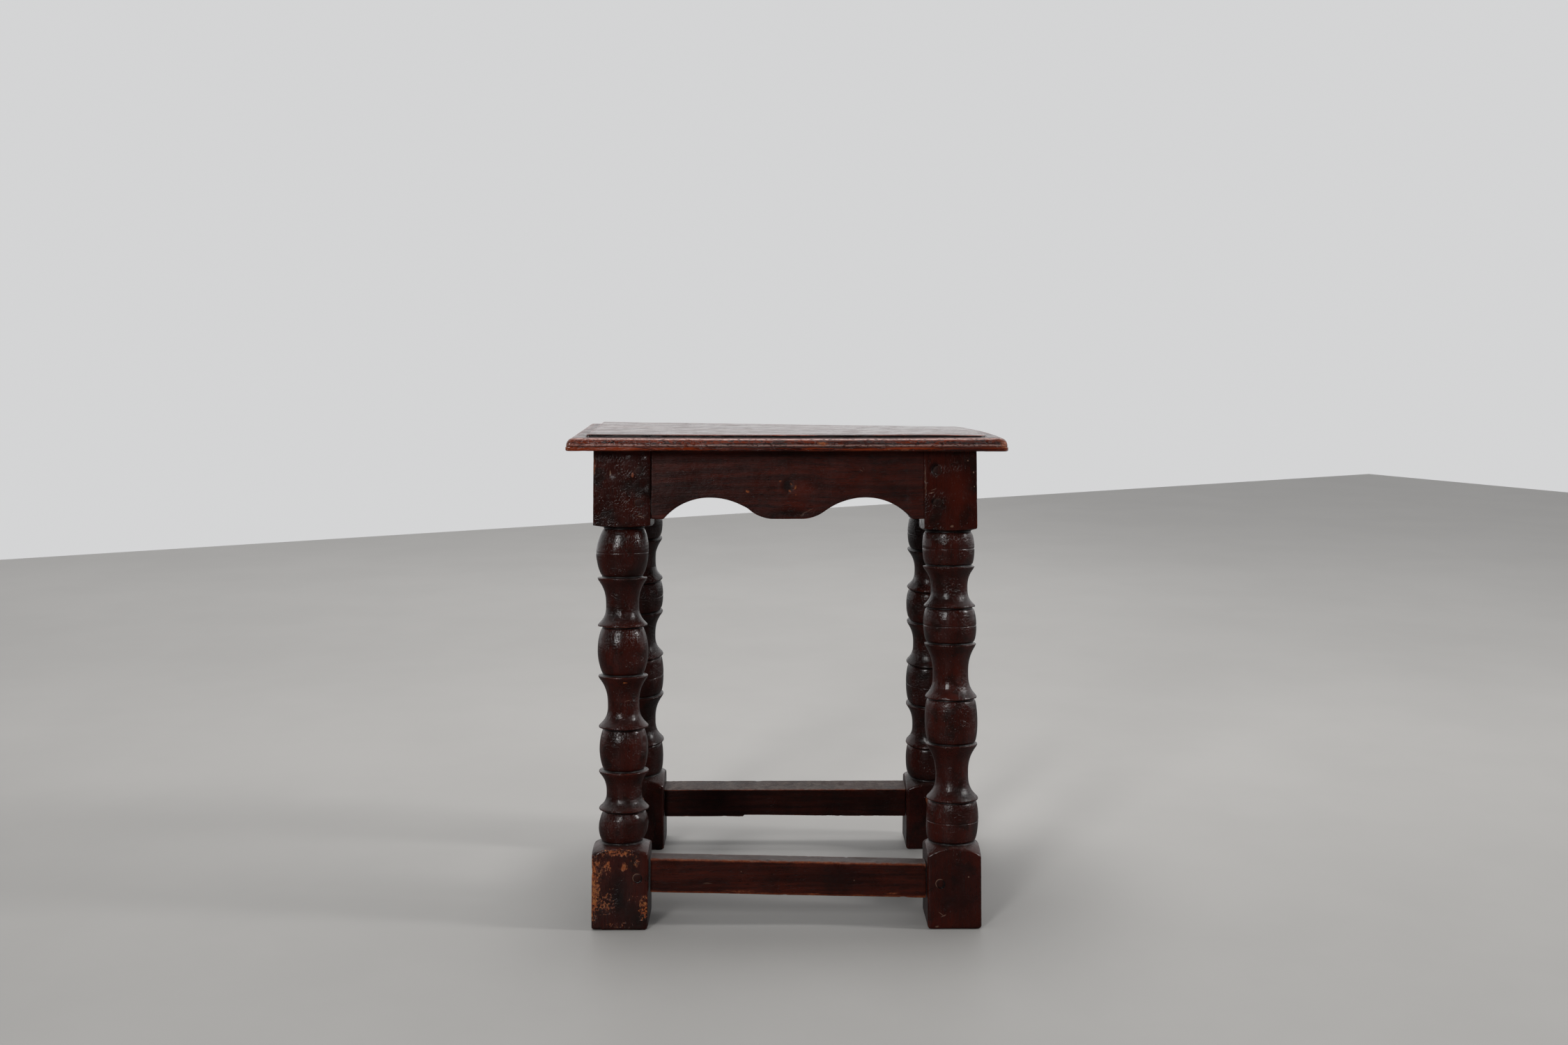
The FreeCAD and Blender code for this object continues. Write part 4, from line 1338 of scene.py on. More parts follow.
@dataclass(frozen=True)
class TopBoard:
    """The moulded top. Heights are from its underside, and the lifts in millimetres warp its corners."""

    finish: Finish
    wear: Wear
    lip: float = 4.3 * MM
    lip_round: float = 1.6 * MM
    quirk_in: float = 0.6 * MM
    quirk_up: float = 0.5 * MM
    ovolo_in: float = 10.8 * MM
    ovolo_up: float = 8.4 * MM
    ovolo_bulge: float = 2.5 * MM
    field_in: float = 19.7 * MM
    field_step: float = 2.7 * MM
    lip_corners: Quad = (4 * MM, 6 * MM, 6 * MM, 2.5 * MM)
    field_corners: Quad = (1.2 * MM, 9 * MM, 6 * MM, 1.5 * MM)
    step: float = 1.8 * MM
    turn: float = math.radians(1.6)
    shift: float = -2.2 * MM
    lifts: Quad = (1.3, 0.3, -5.4, 3.0)
    under_lifts: Pair = (0.8, -1.0)
    front_sag: float = -1.1
    right_crown: float = 1.2
    worn_corner: float = 1.3 * MM
    worn_reach: float = 42 * MM

    @property
    def half(self) -> Triple:
        """Half the board's width and depth, and its whole thickness."""
        low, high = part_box("top_board")
        return (high.x - low.x) / 2, (high.y - low.y) / 2, high.z - low.z

    def lift(self, x: np.ndarray, y: np.ndarray) -> np.ndarray:
        """Return how far the warped board stands above or below the true one at a place."""
        half_x, half_y, _ = self.half
        right, back = (x / half_x + 1) / 2, np.clip((y / half_y + 1) / 2, 0.0, 1.0)
        front_left, front_right, back_right, back_left = self.lifts
        front_edge = front_left * (1 - right) + front_right * right
        back_edge = back_left * (1 - right) + back_right * right
        far = back ** 1.6
        sag = self.front_sag * (1 - (x / half_x) ** 2) * np.clip(1 - 1.6 * back, 0.0, 1.0) ** 2
        crown = self.right_crown * np.clip(right, 0.0, 1.0) ** 4 * 4 * back * (1 - back)
        return (front_edge * (1 - far) + back_edge * far + sag + crown) * MM

    def under_lift(self, x: np.ndarray) -> np.ndarray:
        """Return how far the underside stands above or below the true one."""
        right = (x / self.half[0] + 1) / 2
        return (self.under_lifts[0] * (1 - right) + self.under_lifts[1] * right) * MM

    def rubbed_down(self, outline: np.ndarray, height: float) -> np.ndarray:
        """Return how deep the field is rubbed away round its front right corner."""
        half_x, half_y, thick = self.half
        corner = np.array([half_x - self.field_in, self.field_in - half_y])
        away = np.linalg.norm(outline - corner, axis=1) / self.worn_reach
        share = np.clip((height - thick + self.field_step) / self.field_step, 0.0, 1.0)
        return self.worn_corner * share * np.exp(-(away ** 2))

    def section(self) -> np.ndarray:
        """Return the moulding and the field as distance in from the edge and height, from under to over."""
        _, half_y, thick = self.half
        inner = half_y - 0.001 * MM
        rounding, lip, field_in = self.lip_round, self.lip, self.field_in
        bends = np.linspace(0.0, math.pi / 2, 6)
        under = [(inner, 0.0), *[(d, 0.0) for d in np.linspace(inner * 0.9, rounding * 2, 14)]]
        nose = [(rounding * (1 - math.sin(a)), rounding * (1 - math.cos(a))) for a in bends]
        face = [(0.0, z) for z in np.linspace(rounding, lip - 0.5 * MM, 5)[1:]]
        eased = [(0.2 * MM, lip - 0.15 * MM), (0.6 * MM, lip)]
        quirk = [(self.quirk_in + 0.35 * MM, lip + self.quirk_up * 0.4)]
        ovolo = self.ovolo()
        top = thick - self.field_step
        start_in, start_up = ovolo[-1]
        fillet = [
            (start_in + (field_in - start_in) * along, start_up + (top - start_up) * up)
            for along, up in ((0.1, -0.12), (0.22, 0.25), (0.4, 0.7), (0.6, 0.95), (0.76, 1.0), (0.88, 0.75))
        ]
        riser = [
            (field_in + d * MM, top + z * MM)
            for d, z in ((-0.2, -0.9), (0.1, -0.8), (0.1, 0.4), (0.1, 1.6))
        ]
        arris = [
            (field_in + d * MM, thick - z * MM)
            for d, z in ((0.2, 0.8), (0.6, 0.42), (1.2, 0.16), (2.2, 0.03))
        ]
        inwards = np.linspace(field_in + 3.6 * MM, inner, spaced(inner - field_in, 3.2 * MM))
        flat = [(d, thick) for d in inwards]
        return np.array(under + nose + face + eased + quirk + ovolo + fillet + riser + arris + flat)

    def ovolo(self) -> list[Pair]:
        """Return the quarter round between the quirk and the fillet, as an arc that bulges outwards."""
        start = np.array([self.quirk_in, self.lip + self.quirk_up])
        end = start + np.array([self.ovolo_in, self.ovolo_up])
        out = np.array([-1.0, 1.0]) * self.ovolo_bulge
        return [tuple(start + (end - start) * t + out * 4 * t * (1 - t)) for t in np.linspace(0.0, 1.0, 13)]

    def bands(self, inset: float, height: float) -> Triple:
        """Return, for a ring of the section, how much painted shade it takes in the quirk, riser and fillet,
        how rubbed an edge it is, and how much painted highlight it takes along the crest.
        """
        thick, ovolo_end = self.half[2], self.quirk_in + self.ovolo_in + 0.1 * MM
        field_in = self.field_in
        in_riser = field_in - 1.6 * MM < inset < field_in + 0.22 * MM and height < thick - 0.7 * MM
        in_quirk = self.quirk_in < inset < self.quirk_in + 0.5 * MM and abs(height - self.lip) < 0.4 * MM
        on_fillet = ovolo_end < inset < field_in - 1.6 * MM and height < thick
        on_lip = inset <= 0.6 * MM and 0.0 < height <= self.lip
        on_ovolo = self.quirk_in <= inset <= ovolo_end and height > self.lip
        on_arris = field_in + 0.15 * MM < inset < field_in + 2.4 * MM and height > thick - 0.85 * MM
        along = (inset - self.quirk_in) / self.ovolo_in if on_ovolo else 0.0
        # Painted shade: full in the quirk and the riser, less on the fillet
        groove = 1.0 if in_riser or in_quirk else 0.4 if on_fillet else 0.0
        rubbed = 0.9 if on_lip or on_arris else 0.5 if on_ovolo else 0.25 if on_fillet else 0.0
        # The painted highlight: a bright line along the ovolo's crest and a fainter one just above the quirk
        crest = 1.0 if 0.34 < along < 0.5 else 0.6 if 0.0 < along < 0.03 else 0.0
        return groove, rubbed, crest

    def ring(self, inset: float) -> np.ndarray:
        """Return the outline of the board at a distance in from its edge, its corners rounded off."""
        half_x, half_y, _ = self.half
        hx, hy = half_x - inset, half_y - inset
        inwards = min(inset / self.field_in, 1.0)
        radii = [min(a + (b - a) * inwards, hy) for a, b in zip(self.lip_corners, self.field_corners)]
        points = []
        for quarter in range(4):
            along, out, whole = ((hx, hy, half_x), (hy, hx, half_y))[quarter % 2]
            x = np.linspace(-along, along, spaced(2 * whole, self.step))[:-1]
            radius = np.where(x < 0, radii[quarter], radii[(quarter + 1) % 4])
            over = np.clip(np.abs(x) - (along - radius), 0.0, radius) / radius
            angle = over * math.pi / 4
            bent = np.where(over > 0, np.sign(x) * (along - radius + radius * np.sin(angle)), x)
            drawn = out - radius * (1 - np.cos(angle))
            a, b = ((1, 0), (0, 1), (-1, 0), (0, -1))[quarter]
            points.append(np.stack([a * bent + b * drawn, b * bent - a * drawn], 1))
        return np.concatenate(points)

    def make(self, shop: Workshop) -> None:
        """Shape the board, warp it and wear it."""
        thick = self.half[2]
        section = self.section()
        rings = []
        for inset, height in section:
            outline = self.ring(inset)
            over, under = self.lift(outline[:, 0], outline[:, 1]), self.under_lift(outline[:, 0])
            share = height / thick
            lift = over * share + under * (1 - share) - self.rubbed_down(outline, height)
            rings.append(np.column_stack([outline, FRAME_TOP + height + lift]))
        worn = zip(*[self.bands(inset, height) for inset, height in section])
        bands = dict(zip(("groove", "rubbed", "crest"), worn))
        mesh = ring_mesh("moulded_top", np.array(rings), False, bands)
        mesh.transform(Matrix.Translation((self.shift, 0.0, 0.0)) @ Matrix.Rotation(self.turn, 4, "Z"))
        piece = new_piece("moulded_top", mesh)
        shop.grow(piece, shop.geometry.wearing, self.wear.inputs(), self.finish.make(shop.shaders))
        shop.hand_over(piece, Slot.TOP, "top_board")


@dataclass(frozen=True)
class Pegs:
    """The pegs of one rail, or of the top, driven where the construction has them."""

    node: str
    side: Side | None
    proud: float
    cad_proud: float = 0.8 * MM
    radius: float = 3.9 * MM
    length: float = 9 * MM
    seed: int = 1

    def make(self, shop: Workshop, finish: Material, board: TopBoard) -> None:
        """Drive the pegs.

        Args:
            shop: What pieces are made with.
            finish: The pegs' material.
            board: The top, whose warp the pegs of the top follow.
        """
        out = peg_direction(self.side)
        spots = []
        for head in peg_heads(self.node, out):
            lift = float(board.lift(np.array(head.x), np.array(head.y))) if self.side is None else 0.0
            spots.append(head + out * (self.proud - self.cad_proud + lift))
        mesh = bpy.data.meshes.new(self.node)
        mesh.from_pydata([tuple(spot) for spot in spots], [], [])
        ways = mesh.attributes.new("direction", "FLOAT_VECTOR", "POINT")
        ways.data.foreach_set("vector", np.tile(np.array(out, np.float32), len(spots)))
        piece = new_piece(self.node.replace("_pegs", "_driven_pegs"), mesh)
        values = {"Radius": self.radius, "Length": self.length, "Seed": self.seed}
        shop.grow(piece, shop.geometry.pegs, values, finish)
        for polygon in piece.data.polygons:
            polygon.use_smooth = False
        shop.hand_over(piece, Slot.PEG, self.node)


@dataclass(frozen=True)
class SoftBox:
    """One soft light: where it hangs, its size, its power in watts, and whether gloss mirrors it."""

    name: str
    at: Triple
    width: float
    height: float
    power: float
    mirrored: bool = True

    def hang(self, target: Vector) -> None:
        """Hang the light and turn it towards a point."""
        light = bpy.data.lights.new(self.name, "AREA")
        light.shape = "RECTANGLE"
        light.size = self.width
        light.size_y = self.height
        light.energy = self.power
        lamp = new_piece(self.name, light)
        lamp.location = self.at
        lamp.rotation_euler = (target - Vector(self.at)).to_track_quat("-Z", "Y").to_euler()
        lamp.visible_camera = False
        lamp.visible_glossy = self.mirrored


@dataclass(frozen=True)
class Studio:
    """A pale floor with painted shade and light, soft lights and the camera at the photograph's angle."""

    camera_at: Triple = (-16.41 * MM, -1676.59 * MM, 599.13 * MM)
    camera_turn: float = math.radians(0.492)
    camera_tilt: float = math.radians(1.5)
    lens: float = 34.98
    sensor: float = 36.0
    shift: float = -0.09189
    floor_outline: tuple[Pair, ...] = ((-26, -10.55), (-26, -30), (30, -30), (15, -17), (2.63, 5.03))
    floor_colour: Triple = (0.47, 0.457, 0.440)
    near_shade: float = 0.74
    far_shade: float = 1.20
    brightest_shade: float = 1.25
    wall: float = 0.665
    wall_colour: Triple = (0.99, 0.993, 1.0)
    dim: float = 0.12
    bright: float = 0.76
    mirrored: float = 0.1
    boxes: tuple[SoftBox, ...] = (
        SoftBox("window_left", (-1.2, -2.5, 1.7), 0.5, 1.2, 34.0),
        SoftBox("window_right", (2.35, -0.3, 1.6), 0.28, 0.9, 28.0),
        SoftBox("ceiling", (-0.3, 0.3, 3.0), 1.3, 0.9, 36.0, mirrored=False),
    )

    def build(self) -> None:
        """Set up the floor, the lights, the surroundings and the camera."""
        self.lay_floor()
        for box in self.boxes:
            box.hang(Vector((0.0, 0.0, 0.25)))
        self.surround()
        bpy.context.scene.view_settings.view_transform = "Standard"
        self.set_camera()

    def surround(self) -> None:
        """Surround the stool with a pale wall, brighter above and behind the stool than in front of it."""
        world = bpy.data.worlds.new("studio")
        world.use_nodes = True
        graph = Graph(world.node_tree)
        _, back, up = graph.split(graph.add("ShaderNodeTexCoord").outputs["Generated"])
        light = graph.fade(graph.plus(back, graph.times(up, 0.2)), -0.5, 0.8, self.dim, self.bright)
        path = graph.add("ShaderNodeLightPath").outputs
        shown = graph.times(path["Is Camera Ray"], graph.minus(self.wall, light))
        in_front = graph.fade(back, -0.2, 0.35, 1.0, 0.0)
        hidden = graph.times(path["Is Glossy Ray"], in_front, light)
        strength = graph.minus(graph.plus(light, shown), graph.times(hidden, 1 - self.mirrored))
        backdrop = graph.tree.nodes["Background"]
        graph.put(backdrop.inputs["Color"], self.wall_colour)
        graph.put(backdrop.inputs["Strength"], strength)
        bpy.context.scene.world = world

    def lay_floor(self) -> None:
        """Lay the floor, which isn't part of the stool. Its colour is painted darker towards the camera and
        the sides and lighter far behind: painted shade and light falloff.
        """
        corners = [(x, y, 0.0) for x, y in self.floor_outline]
        mesh = bpy.data.meshes.new("floor")
        mesh.from_pydata(corners, [], [tuple(range(len(corners)))])
        floor = new_piece("floor", mesh)
        material = bpy.data.materials.new("pale_floor")
        material.use_nodes = True
        graph = Graph(material.node_tree)
        shader = graph.tree.nodes["Principled BSDF"]
        place = graph.add("ShaderNodeTexCoord").outputs["Object"]
        cloud = graph.fade(graph.noise(place, 3.5, 4.0, 0.6), 0.3, 0.7, 0.96, 1.0)
        x, y, _ = graph.split(place)
        # Painted shade and light: darker near the camera and at the sides, lighter far behind
        near = graph.fade(y, -0.4, 0.9, self.near_shade, 1.0)
        far = graph.fade(y, 0.9, 2.2, 0.0, self.far_shade - 1.0)
        sides = graph.times(graph.fade(x, -1.4, 0.2, 0.96, 1.0), graph.fade(x, 0.2, 1.3, 1.0, 0.86))
        shade = graph.over(graph.times(graph.plus(near, far), sides), self.brightest_shade)
        glossy = graph.add("ShaderNodeLightPath").outputs["Is Glossy Ray"]
        shade = graph.times(cloud, shade, graph.fade(glossy, 0.0, 1.0, 1.0, self.mirrored))
        full = tuple(channel * self.brightest_shade for channel in self.floor_colour)
        graph.put(shader.inputs["Base Color"], graph.mix(shade, (0.0, 0.0, 0.0), full))
        shader.inputs["Roughness"].default_value = 0.55
        mesh.materials.append(material)
        floor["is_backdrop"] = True

    def set_camera(self) -> None:
        """Set the camera where the photograph was taken from."""
        data = bpy.data.cameras.new("camera")
        data.lens = self.lens
        data.sensor_width = self.sensor
        data.sensor_fit = "HORIZONTAL"
        data.shift_y = self.shift
        data.clip_start = 0.05
        data.clip_end = 100.0
        camera = new_piece("camera", data)
        camera.location = self.camera_at
        camera.rotation_euler = (math.radians(90.0) - self.camera_tilt, 0.0, -self.camera_turn)
        bpy.context.scene.camera = camera


FRONT_LEFT_MARKS = (
    *marks(
        MarkKind.FLAKED,
        ((-198, -146, 44), (14, 14, 56), 0.7), ((-186, -145, 64), (15, 10, 17), 0.8, 0.8),
        ((-172, -143, 77), (34, 10, 7), 0.8, 0.9), ((-153, -144, 68), (8, 8, 14), 0.8, 0.7),
        ((-166, -144, 63), (6, 8, 7), 0.6, 0.95), ((-183, -147, 26), (18, 8, 20), 0.8, 0.75),
        ((-146, -147, 24), (9, 12, 26), 0.8, 0.85), ((-157, -147, 32), (12, 8, 10), 0.8, 0.6),
        ((-170, -148, 6), (34, 8, 8), 0.9, 0.55), ((-200, -125, 45), (8, 34, 50), 0.8, 0.7),
        ((-171, -146, 42), (30, 8, 44), 0.5, 0.3),
    ),
    *marks(MarkKind.BRUISE, ((-171, -146, 38), (15, 8, 34), 1.0, 0.75)),
    *marks(
        MarkKind.PALE,
        ((-181.6, -112.5, 460.6), (0.9, 6, 3.5), 0.5, 0.9, 8),
        ((-150.3, -116, 416), (4.5, 6, 0.7), 0.5, 0.6, 20),
        ((-163.5, -124, 227), (5, 10, 0.8), 0.5, 0.45, -3),
    ),
    *marks(
        MarkKind.BARE,
        ((-158.6, -112.6, 459.2), (1.4, 6, 3.0), 0.5, 0.9, -5), ((-198, -112, 468), (1.6, 8, 12), 0.6, 0.55),
        ((-165.8, -127.6, 246.5), (3.2, 8, 1.6), 0.5, 1.0, 8),
    ),
    *marks(
        MarkKind.ROUGH,
        ((-165, -113, 452), (12, 8, 10), 0.7), ((-162, -114, 437), (14, 8, 8), 0.7),
        ((-185, -115, 426), (12, 8, 12), 0.7), ((-194, -114, 448), (7, 8, 16), 0.7),
    ),
)

FRONT_RIGHT_MARKS = (
    *marks(
        MarkKind.BRUISE,
        ((152.5, -112.1, 465), (7, 6, 9), 0.6, 0.85), ((151.9, -114.8, 431), (5, 6, 5), 0.6, 0.95),
        ((157.8, -145.5, 45.1), (4.2, 5, 4.2), 0.25, 0.5), ((172, -146, 36), (32, 9, 44), 0.8, 0.45),
    ),
    *marks(MarkKind.RED, ((176, -113.5, 440), (18, 6, 42), 0.9, 0.5)),
    *marks(
        MarkKind.PALE,
        ((148.4, -114.2, 440.5), (4.5, 6, 0.6), 0.5, 0.5, -15),
        ((151, -114, 444), (4, 6, 0.5), 0.5, 0.4, -25),
        ((186.2, -111.5, 473.3), (0.9, 6, 0.9), 0.5, 0.8), ((192.6, -112.4, 461.1), (0.8, 6, 0.8), 0.5, 0.8),
        ((193.2, -113.6, 446.7), (0.8, 6, 0.8), 0.5, 0.8), ((169.7, -116.8, 406.5), (2, 6, 1.5), 0.5, 0.6),
        ((142.9, -112.8, 452), (0.9, 5, 20), 0.6, 0.35), ((184.1, -145, 52.6), (0.9, 6, 0.9), 0.5, 0.8),
        ((156, -148, 15.5), (4, 6, 0.5), 0.5, 0.5, 35), ((158.5, -148, 14), (3.5, 6, 0.5), 0.5, 0.45, -30),
        ((151.8, -149, 3), (2.5, 6, 1.2), 0.5, 0.5),
    ),
)

FRONT_APRON_MARKS = (
    *marks(
        MarkKind.BARE,
        ((-40.5, -111, 441.6), (2.6, 6, 1.8), 0.5, 0.7, 30), ((8.5, -110.9, 446), (1.2, 6, 3), 0.5, 0.7, 25),
        ((4, -110.9, 449), (1, 6, 2.2), 0.5, 0.6, -30), ((3, -110.9, 442), (2.2, 6, 1.4), 0.5, 0.6, 40),
        ((-6.6, -110.1, 452.3), (1.6, 6, 1.2), 0.5, 0.6), ((9, -111.2, 438.5), (1.5, 6, 1), 0.5, 0.5),
    ),
    *marks(
        MarkKind.BRUISE, ((1, -110.5, 447), (8, 6, 10), 0.7, 0.8), ((4, -112.5, 420), (26, 6, 7), 0.8, 0.6)
    ),
    *marks(MarkKind.RED, ((14, -110.5, 444), (24, 6, 12), 0.9, 0.9)),
    *marks(
        MarkKind.PALE,
        ((22.3, -112.6, 421.5), (5, 6, 1), 0.5, 0.18, -30),
        ((17, -112.6, 418.5), (5, 6, 1.2), 0.5, 0.18, -35),
        ((76.6, -109.3, 463), (2.5, 6, 0.7), 0.5, 0.3, 40), ((79, -109.3, 465), (2, 6, 0.5), 0.5, 0.25, 50),
    ),
    *marks(MarkKind.ROUGH, ((-4, -112.9, 415.5), (18, 8, 6), 0.7)),
)

FRONT_STRETCHER_MARKS = (
    *marks(
        MarkKind.BARE,
        ((-49, -136.5, 35.5), (22, 6, 1.1), 0.8, 0.55, 1), ((27, -137, 32.5), (9, 6, 1), 0.8, 0.6),
        ((107, -137, 32.9), (9, 6, 1.3), 0.8, 0.65),
    ),
    *marks(
        MarkKind.PALE,
        ((-81.3, -136.2, 43.2), (6, 6, 1), 0.8, 0.25), ((-47.2, -135.2, 54.8), (0.8, 6, 0.8), 0.5, 0.9),
        ((67.9, -135.9, 46.2), (0.8, 6, 0.8), 0.5, 0.9),
    ),
)

TOP_MARKS = (
    *marks(
        MarkKind.BARE,
        ((36.4, -124, 491.3), (7, 9, 2.6), 0.7, 0.8), ((225, -119, 490.5), (8, 12, 5), 0.7),
        ((-226, -132, 488), (7, 9, 3), 0.8, 0.5), ((121, -123, 485.5), (6, 9, 1.6), 0.8, 0.6),
        ((104, -124, 486), (4, 9, 1.4), 0.8, 0.5),
    ),
    *marks(MarkKind.RED, ((190, -122, 486.5), (50, 12, 4), 0.9, 0.7)),
    # Painted shadow along the lower part of the lip
    *marks(
        MarkKind.BRUISE,
        ((140, -124, 484.6), (110, 14, 1.9), 0.9, 0.8), ((-120, -130, 485.2), (70, 14, 1.3), 0.9, 0.7),
    ),
)

FRONT_LEG_FINISH = Finish(
    "oak_front_leg", Grain.UP, 1.0, lean=RAKE, red=(0.078, 0.0092, 0.0042), roughness=0.18, gloss=0.42,
    figured=0.06, blotchy=0.32, grime=0.6, fibrous=0.16, tooth=1.6, skin=0.34 * MM, crackle=1.5,
    dust=(0.075, 0.074, 0.064), dusty=0.12,
)
BACK_LEG_FINISH = replace(
    FRONT_LEG_FINISH, lean=-RAKE, roughness=0.2, gloss=0.4, blotchy=0.3, fibrous=0.12, tooth=0.5, crackle=2.0,
    wear=0.2,
)


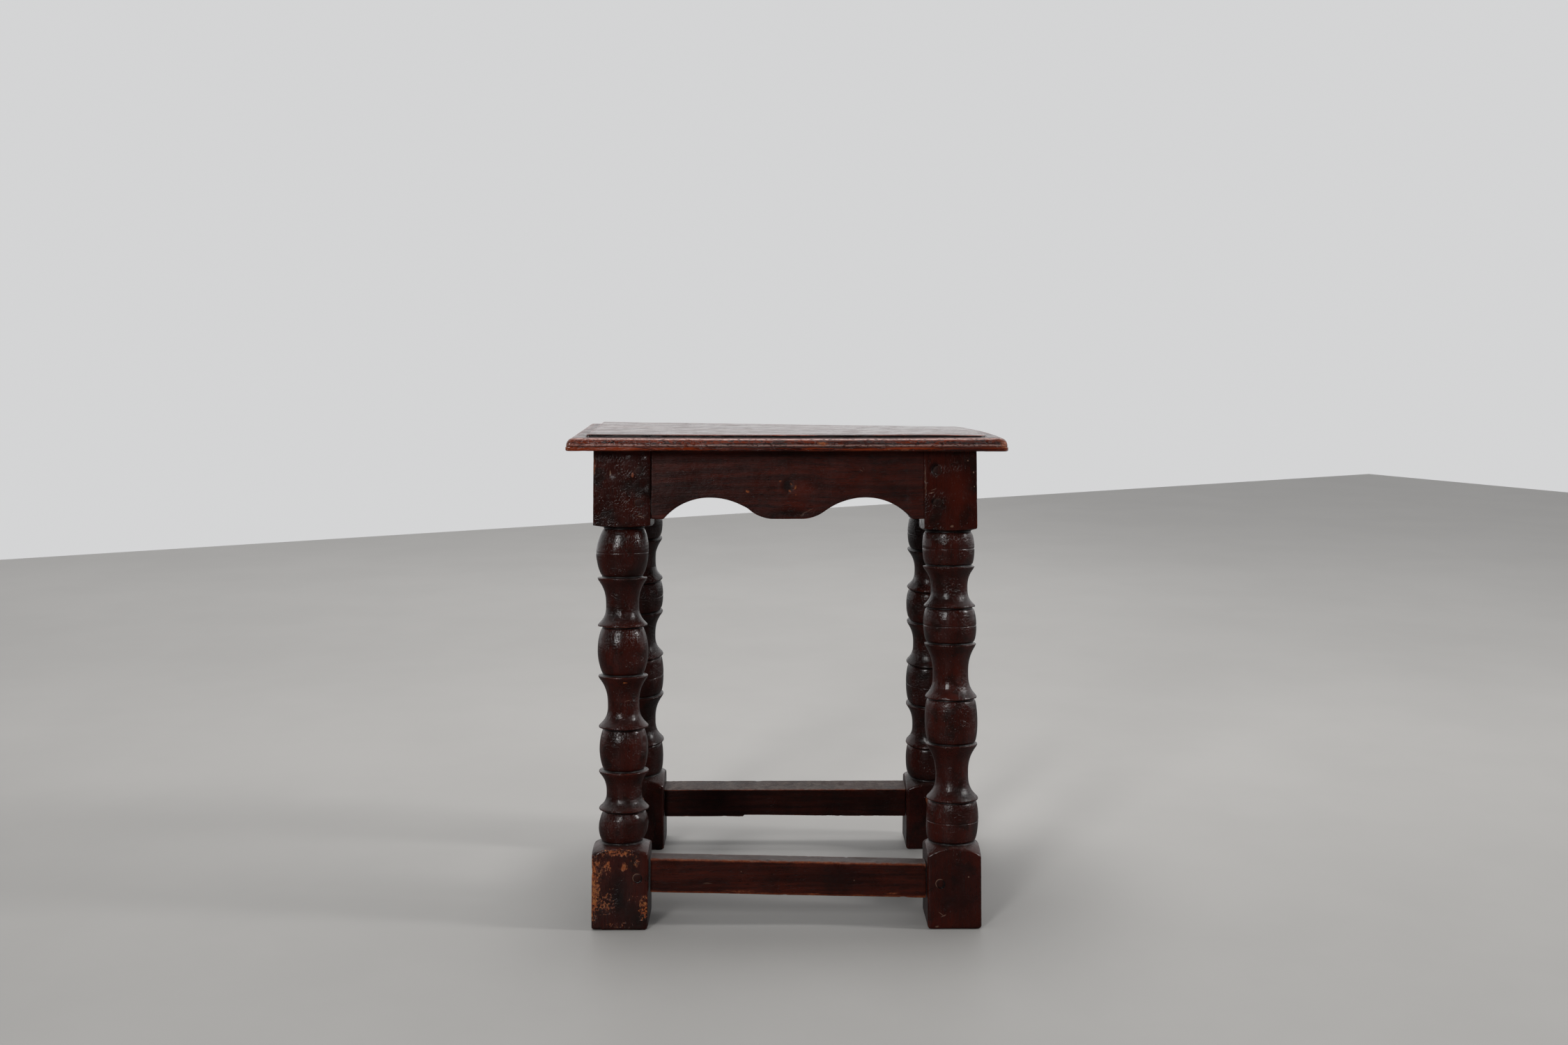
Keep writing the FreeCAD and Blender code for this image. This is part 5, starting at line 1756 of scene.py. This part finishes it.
@dataclass(frozen=True)
class Stool:
    """The whole stool: its top, its legs, the rails between them, and the pegs that hold it all."""

    apron_height: float = 73 * MM

    def legs(self) -> Iterable[TurnedLeg]:
        """Yield the four legs."""
        yield TurnedLeg(
            node="front_left_leg", side=Side.FRONT, end=1, head_share=1.0, foot_share=0.994,
            reel_shares=((0.167, 0.310), (0.480, 0.633), (0.782, 0.892)),
            ball_shares=(0.982, 0.950, 0.906, 0.920), waist_shares=(0.622, 0.590, 0.655),
            collar_share=0.930, neck_share=0.760, foot_width_share=0.968, fullness=0.72,
            scribed_balls=(0,), scribe_depth=0.25 * MM,
            sway=(
                (0, -0.3), (82, -0.3), (105, 1.6), (200, 0.6), (300, -0.9), (375, -1.8), (403, 0.0),
                (486, 0.0),
            ),
            finish=replace(
                FRONT_LEG_FINISH, name="oak_front_left_leg", redness=0.34, wear=0.22, flaking=0.59,
                marks=FRONT_LEFT_MARKS,
            ),
            wear=Wear(seed=1.0, dent_share=0.35, dent_depth=0.6 * MM),
        )
        yield TurnedLeg(
            node="front_right_leg", side=Side.FRONT, end=-1, head_share=1.045, foot_share=0.988,
            reel_shares=((0.121, 0.241), (0.372, 0.535), (0.694, 0.860)),
            ball_shares=(0.980, 0.995, 0.985, 0.972), waist_shares=(0.690, 0.665, 0.612),
            collar_share=0.965, neck_share=0.860, scribed_balls=(0, 1, 3),
            sway=(
                (0, 0.3), (82, 0.4), (105, 1.6), (200, 1.0), (300, 0.3), (375, -0.6), (403, -1.0),
                (486, -1.2),
            ),
            finish=replace(
                FRONT_LEG_FINISH, name="oak_front_right_leg", seed=2.0, redness=0.36, wear=0.25,
                marks=FRONT_RIGHT_MARKS,
            ),
            wear=Wear(seed=2.0),
        )
        yield TurnedLeg(
            node="back_left_leg", side=Side.BACK, end=-1, head_share=1.0, foot_share=1.079,
            reel_shares=((0.116, 0.258), (0.391, 0.545), (0.705, 0.874)),
            ball_shares=(0.990, 0.990, 0.980, 0.940), waist_shares=(0.690, 0.650, 0.628),
            collar_share=0.970, neck_share=0.850, scribed_balls=(1, 2),
            finish=replace(BACK_LEG_FINISH, name="oak_back_left_leg", seed=3.0, redness=0.14),
            wear=Wear(seed=3.0, dent_share=0.3),
        )
        yield TurnedLeg(
            node="back_right_leg", side=Side.BACK, end=1, head_share=1.11, foot_share=1.012,
            reel_shares=((0.131, 0.267), (0.407, 0.554), (0.724, 0.866)),
            ball_shares=(0.975, 1.000, 0.985, 0.965), waist_shares=(0.670, 0.700, 0.700),
            collar_share=0.975, neck_share=0.830, scribed_balls=(0, 2),
            finish=replace(BACK_LEG_FINISH, name="oak_back_right_leg", seed=4.0, redness=0.16),
            wear=Wear(seed=4.0),
        )

    def aprons(self) -> Iterable[Rail]:
        """Yield the four aprons."""
        for seed, side in enumerate(Side, 5):
            front = side is Side.FRONT
            yield Rail(
                node=side.node("apron"), side=side, height=self.apron_height, thickness=22 * MM,
                setback=3 * MM, low=(AXIS_LENGTH if side.raked else FRAME_TOP) - self.apron_height,
                arch=Arch(),
                finish=Finish(
                    "oak_" + side.node("apron"), Grain.ACROSS_STOOL if side.raked else Grain.FRONT_TO_BACK,
                    float(seed), red=(0.078, 0.0110, 0.0054), redness=0.54 if front else 0.38, figured=0.26,
                    roughness=0.36, gloss=0.25, crackle=0.25, tooth=2.2, wear=0.3,
                    marks=FRONT_APRON_MARKS if front else (),
                ),
                wear=Wear(seed=float(seed), wave_depth=0.5 * MM, chip_depth=1.0 * MM, dent_share=0.15),
            )

    def stretchers(self) -> Iterable[Rail]:
        """Yield the four stretchers."""
        worn = Wear(wave_depth=0.7 * MM, chip_depth=1.2 * MM, dent_share=0.2, seed=11.0)
        yield Rail(
            node="front_stretcher", side=Side.FRONT, height=35 * MM, thickness=23.5 * MM, setback=9.5 * MM,
            low=29.5 * MM, fall=6.4 * MM, arris=2.0 * MM, wear=worn,
            finish=Finish(
                "oak_front_stretcher", Grain.ACROSS_STOOL, 11.0, redness=0.56, figured=0.32, wear=0.72,
                dusty=0.8, bare=(0.34, 0.085, 0.022), crackle=0.4, tooth=1.6, roughness=0.32,
                marks=FRONT_STRETCHER_MARKS,
            ),
        )
        yield Rail(
            node="back_stretcher", side=Side.BACK, height=33 * MM, thickness=30 * MM, setback=14 * MM,
            low=38 * MM, arris=1.4 * MM,
            wear=replace(worn, chip_depth=0.4 * MM, wave_depth=0.4 * MM, seed=12.0),
            splinter=(
                (0.0, 0.0), (0.26, 0.0), (0.325, -0.5), (0.33, 1.7), (0.42, 1.6), (0.7, 0.2), (1.0, 0.0)
            ),
            finish=Finish(
                "oak_back_stretcher", Grain.ACROSS_STOOL, 12.0, redness=0.2, wear=0.5, dusty=0.9,
                roughness=0.35,
            ),
        )
        for seed, side in ((13.0, Side.LEFT), (14.0, Side.RIGHT)):
            yield Rail(
                node=side.node("stretcher"), side=side, height=34 * MM, thickness=24 * MM, setback=10 * MM,
                low=30 * MM, arris=2.0 * MM, wear=replace(worn, seed=seed),
                finish=Finish(
                    "oak_" + side.node("stretcher"), Grain.FRONT_TO_BACK, seed, redness=0.5, wear=0.65,
                    dusty=0.8, roughness=0.37,
                ),
            )

    def board(self) -> TopBoard:
        """Return the top board."""
        return TopBoard(
            finish=Finish(
                "oak_top", Grain.ACROSS_STOOL, 21.0, redness=0.75, figured=0.25, relief=0.14, roughness=0.15,
                ior=1.8, gloss=0.35, bloom=0.6, wear=0.5, crackle=1.8, skin=0.5 * MM, marks=TOP_MARKS,
            ),
            wear=Wear(seed=21.0, wave_depth=0.5 * MM, dent_depth=0.4 * MM, chip_depth=0.7 * MM,
                      edge_height=0.5 * MM),
        )

    def build(self) -> None:
        """Make every piece."""
        shop = Workshop()
        board = self.board()
        for piece in (board, *self.legs(), *self.aprons(), *self.stretchers()):
            piece.make(shop)
        self.drive_pegs(shop, board)

    def drive_pegs(self, shop: Workshop, board: TopBoard) -> None:
        """Drive the pegs of the rails and of the top."""
        finish = Finish("oak_pegs", Grain.UP, 31.0, redness=0.25, roughness=0.45, wear=0.4).make(shop.shaders)
        for seed, side in enumerate(Side, 1):
            for kind, proud in (("apron_pegs", 0.08 * MM), ("stretcher_pegs", 0.25 * MM)):
                Pegs(side.node(kind), side, proud, seed=seed).make(shop, finish, board)
        flush = Finish(
            "oak_top_pegs", Grain.UP, 32.0, redness=0.6, relief=0.17, roughness=0.18, gloss=0.6, fibrous=0.1,
            tooth=0.3,
        )
        top = Pegs("top_pegs", None, -0.15 * MM, cad_proud=0.0, radius=4.5 * MM, seed=9)
        top.make(shop, flush.make(shop.shaders), board)


def write_sizes() -> None:
    """Work out the box of the construction and the box of the dressed stool, in a table that is then dropped.
    """
    boxes = {"cad": cad_box, "visual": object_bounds()}
    {name: [list(corner) for corner in box] for name, box in boxes.items()}


def main() -> None:
    """Set up the studio, build the stool and work out its size."""
    logging.basicConfig(level=logging.INFO, format="%(name)s %(message)s")
    Studio().build()
    Stool().build()
    write_sizes()


if __name__ == "__main__":
    main()
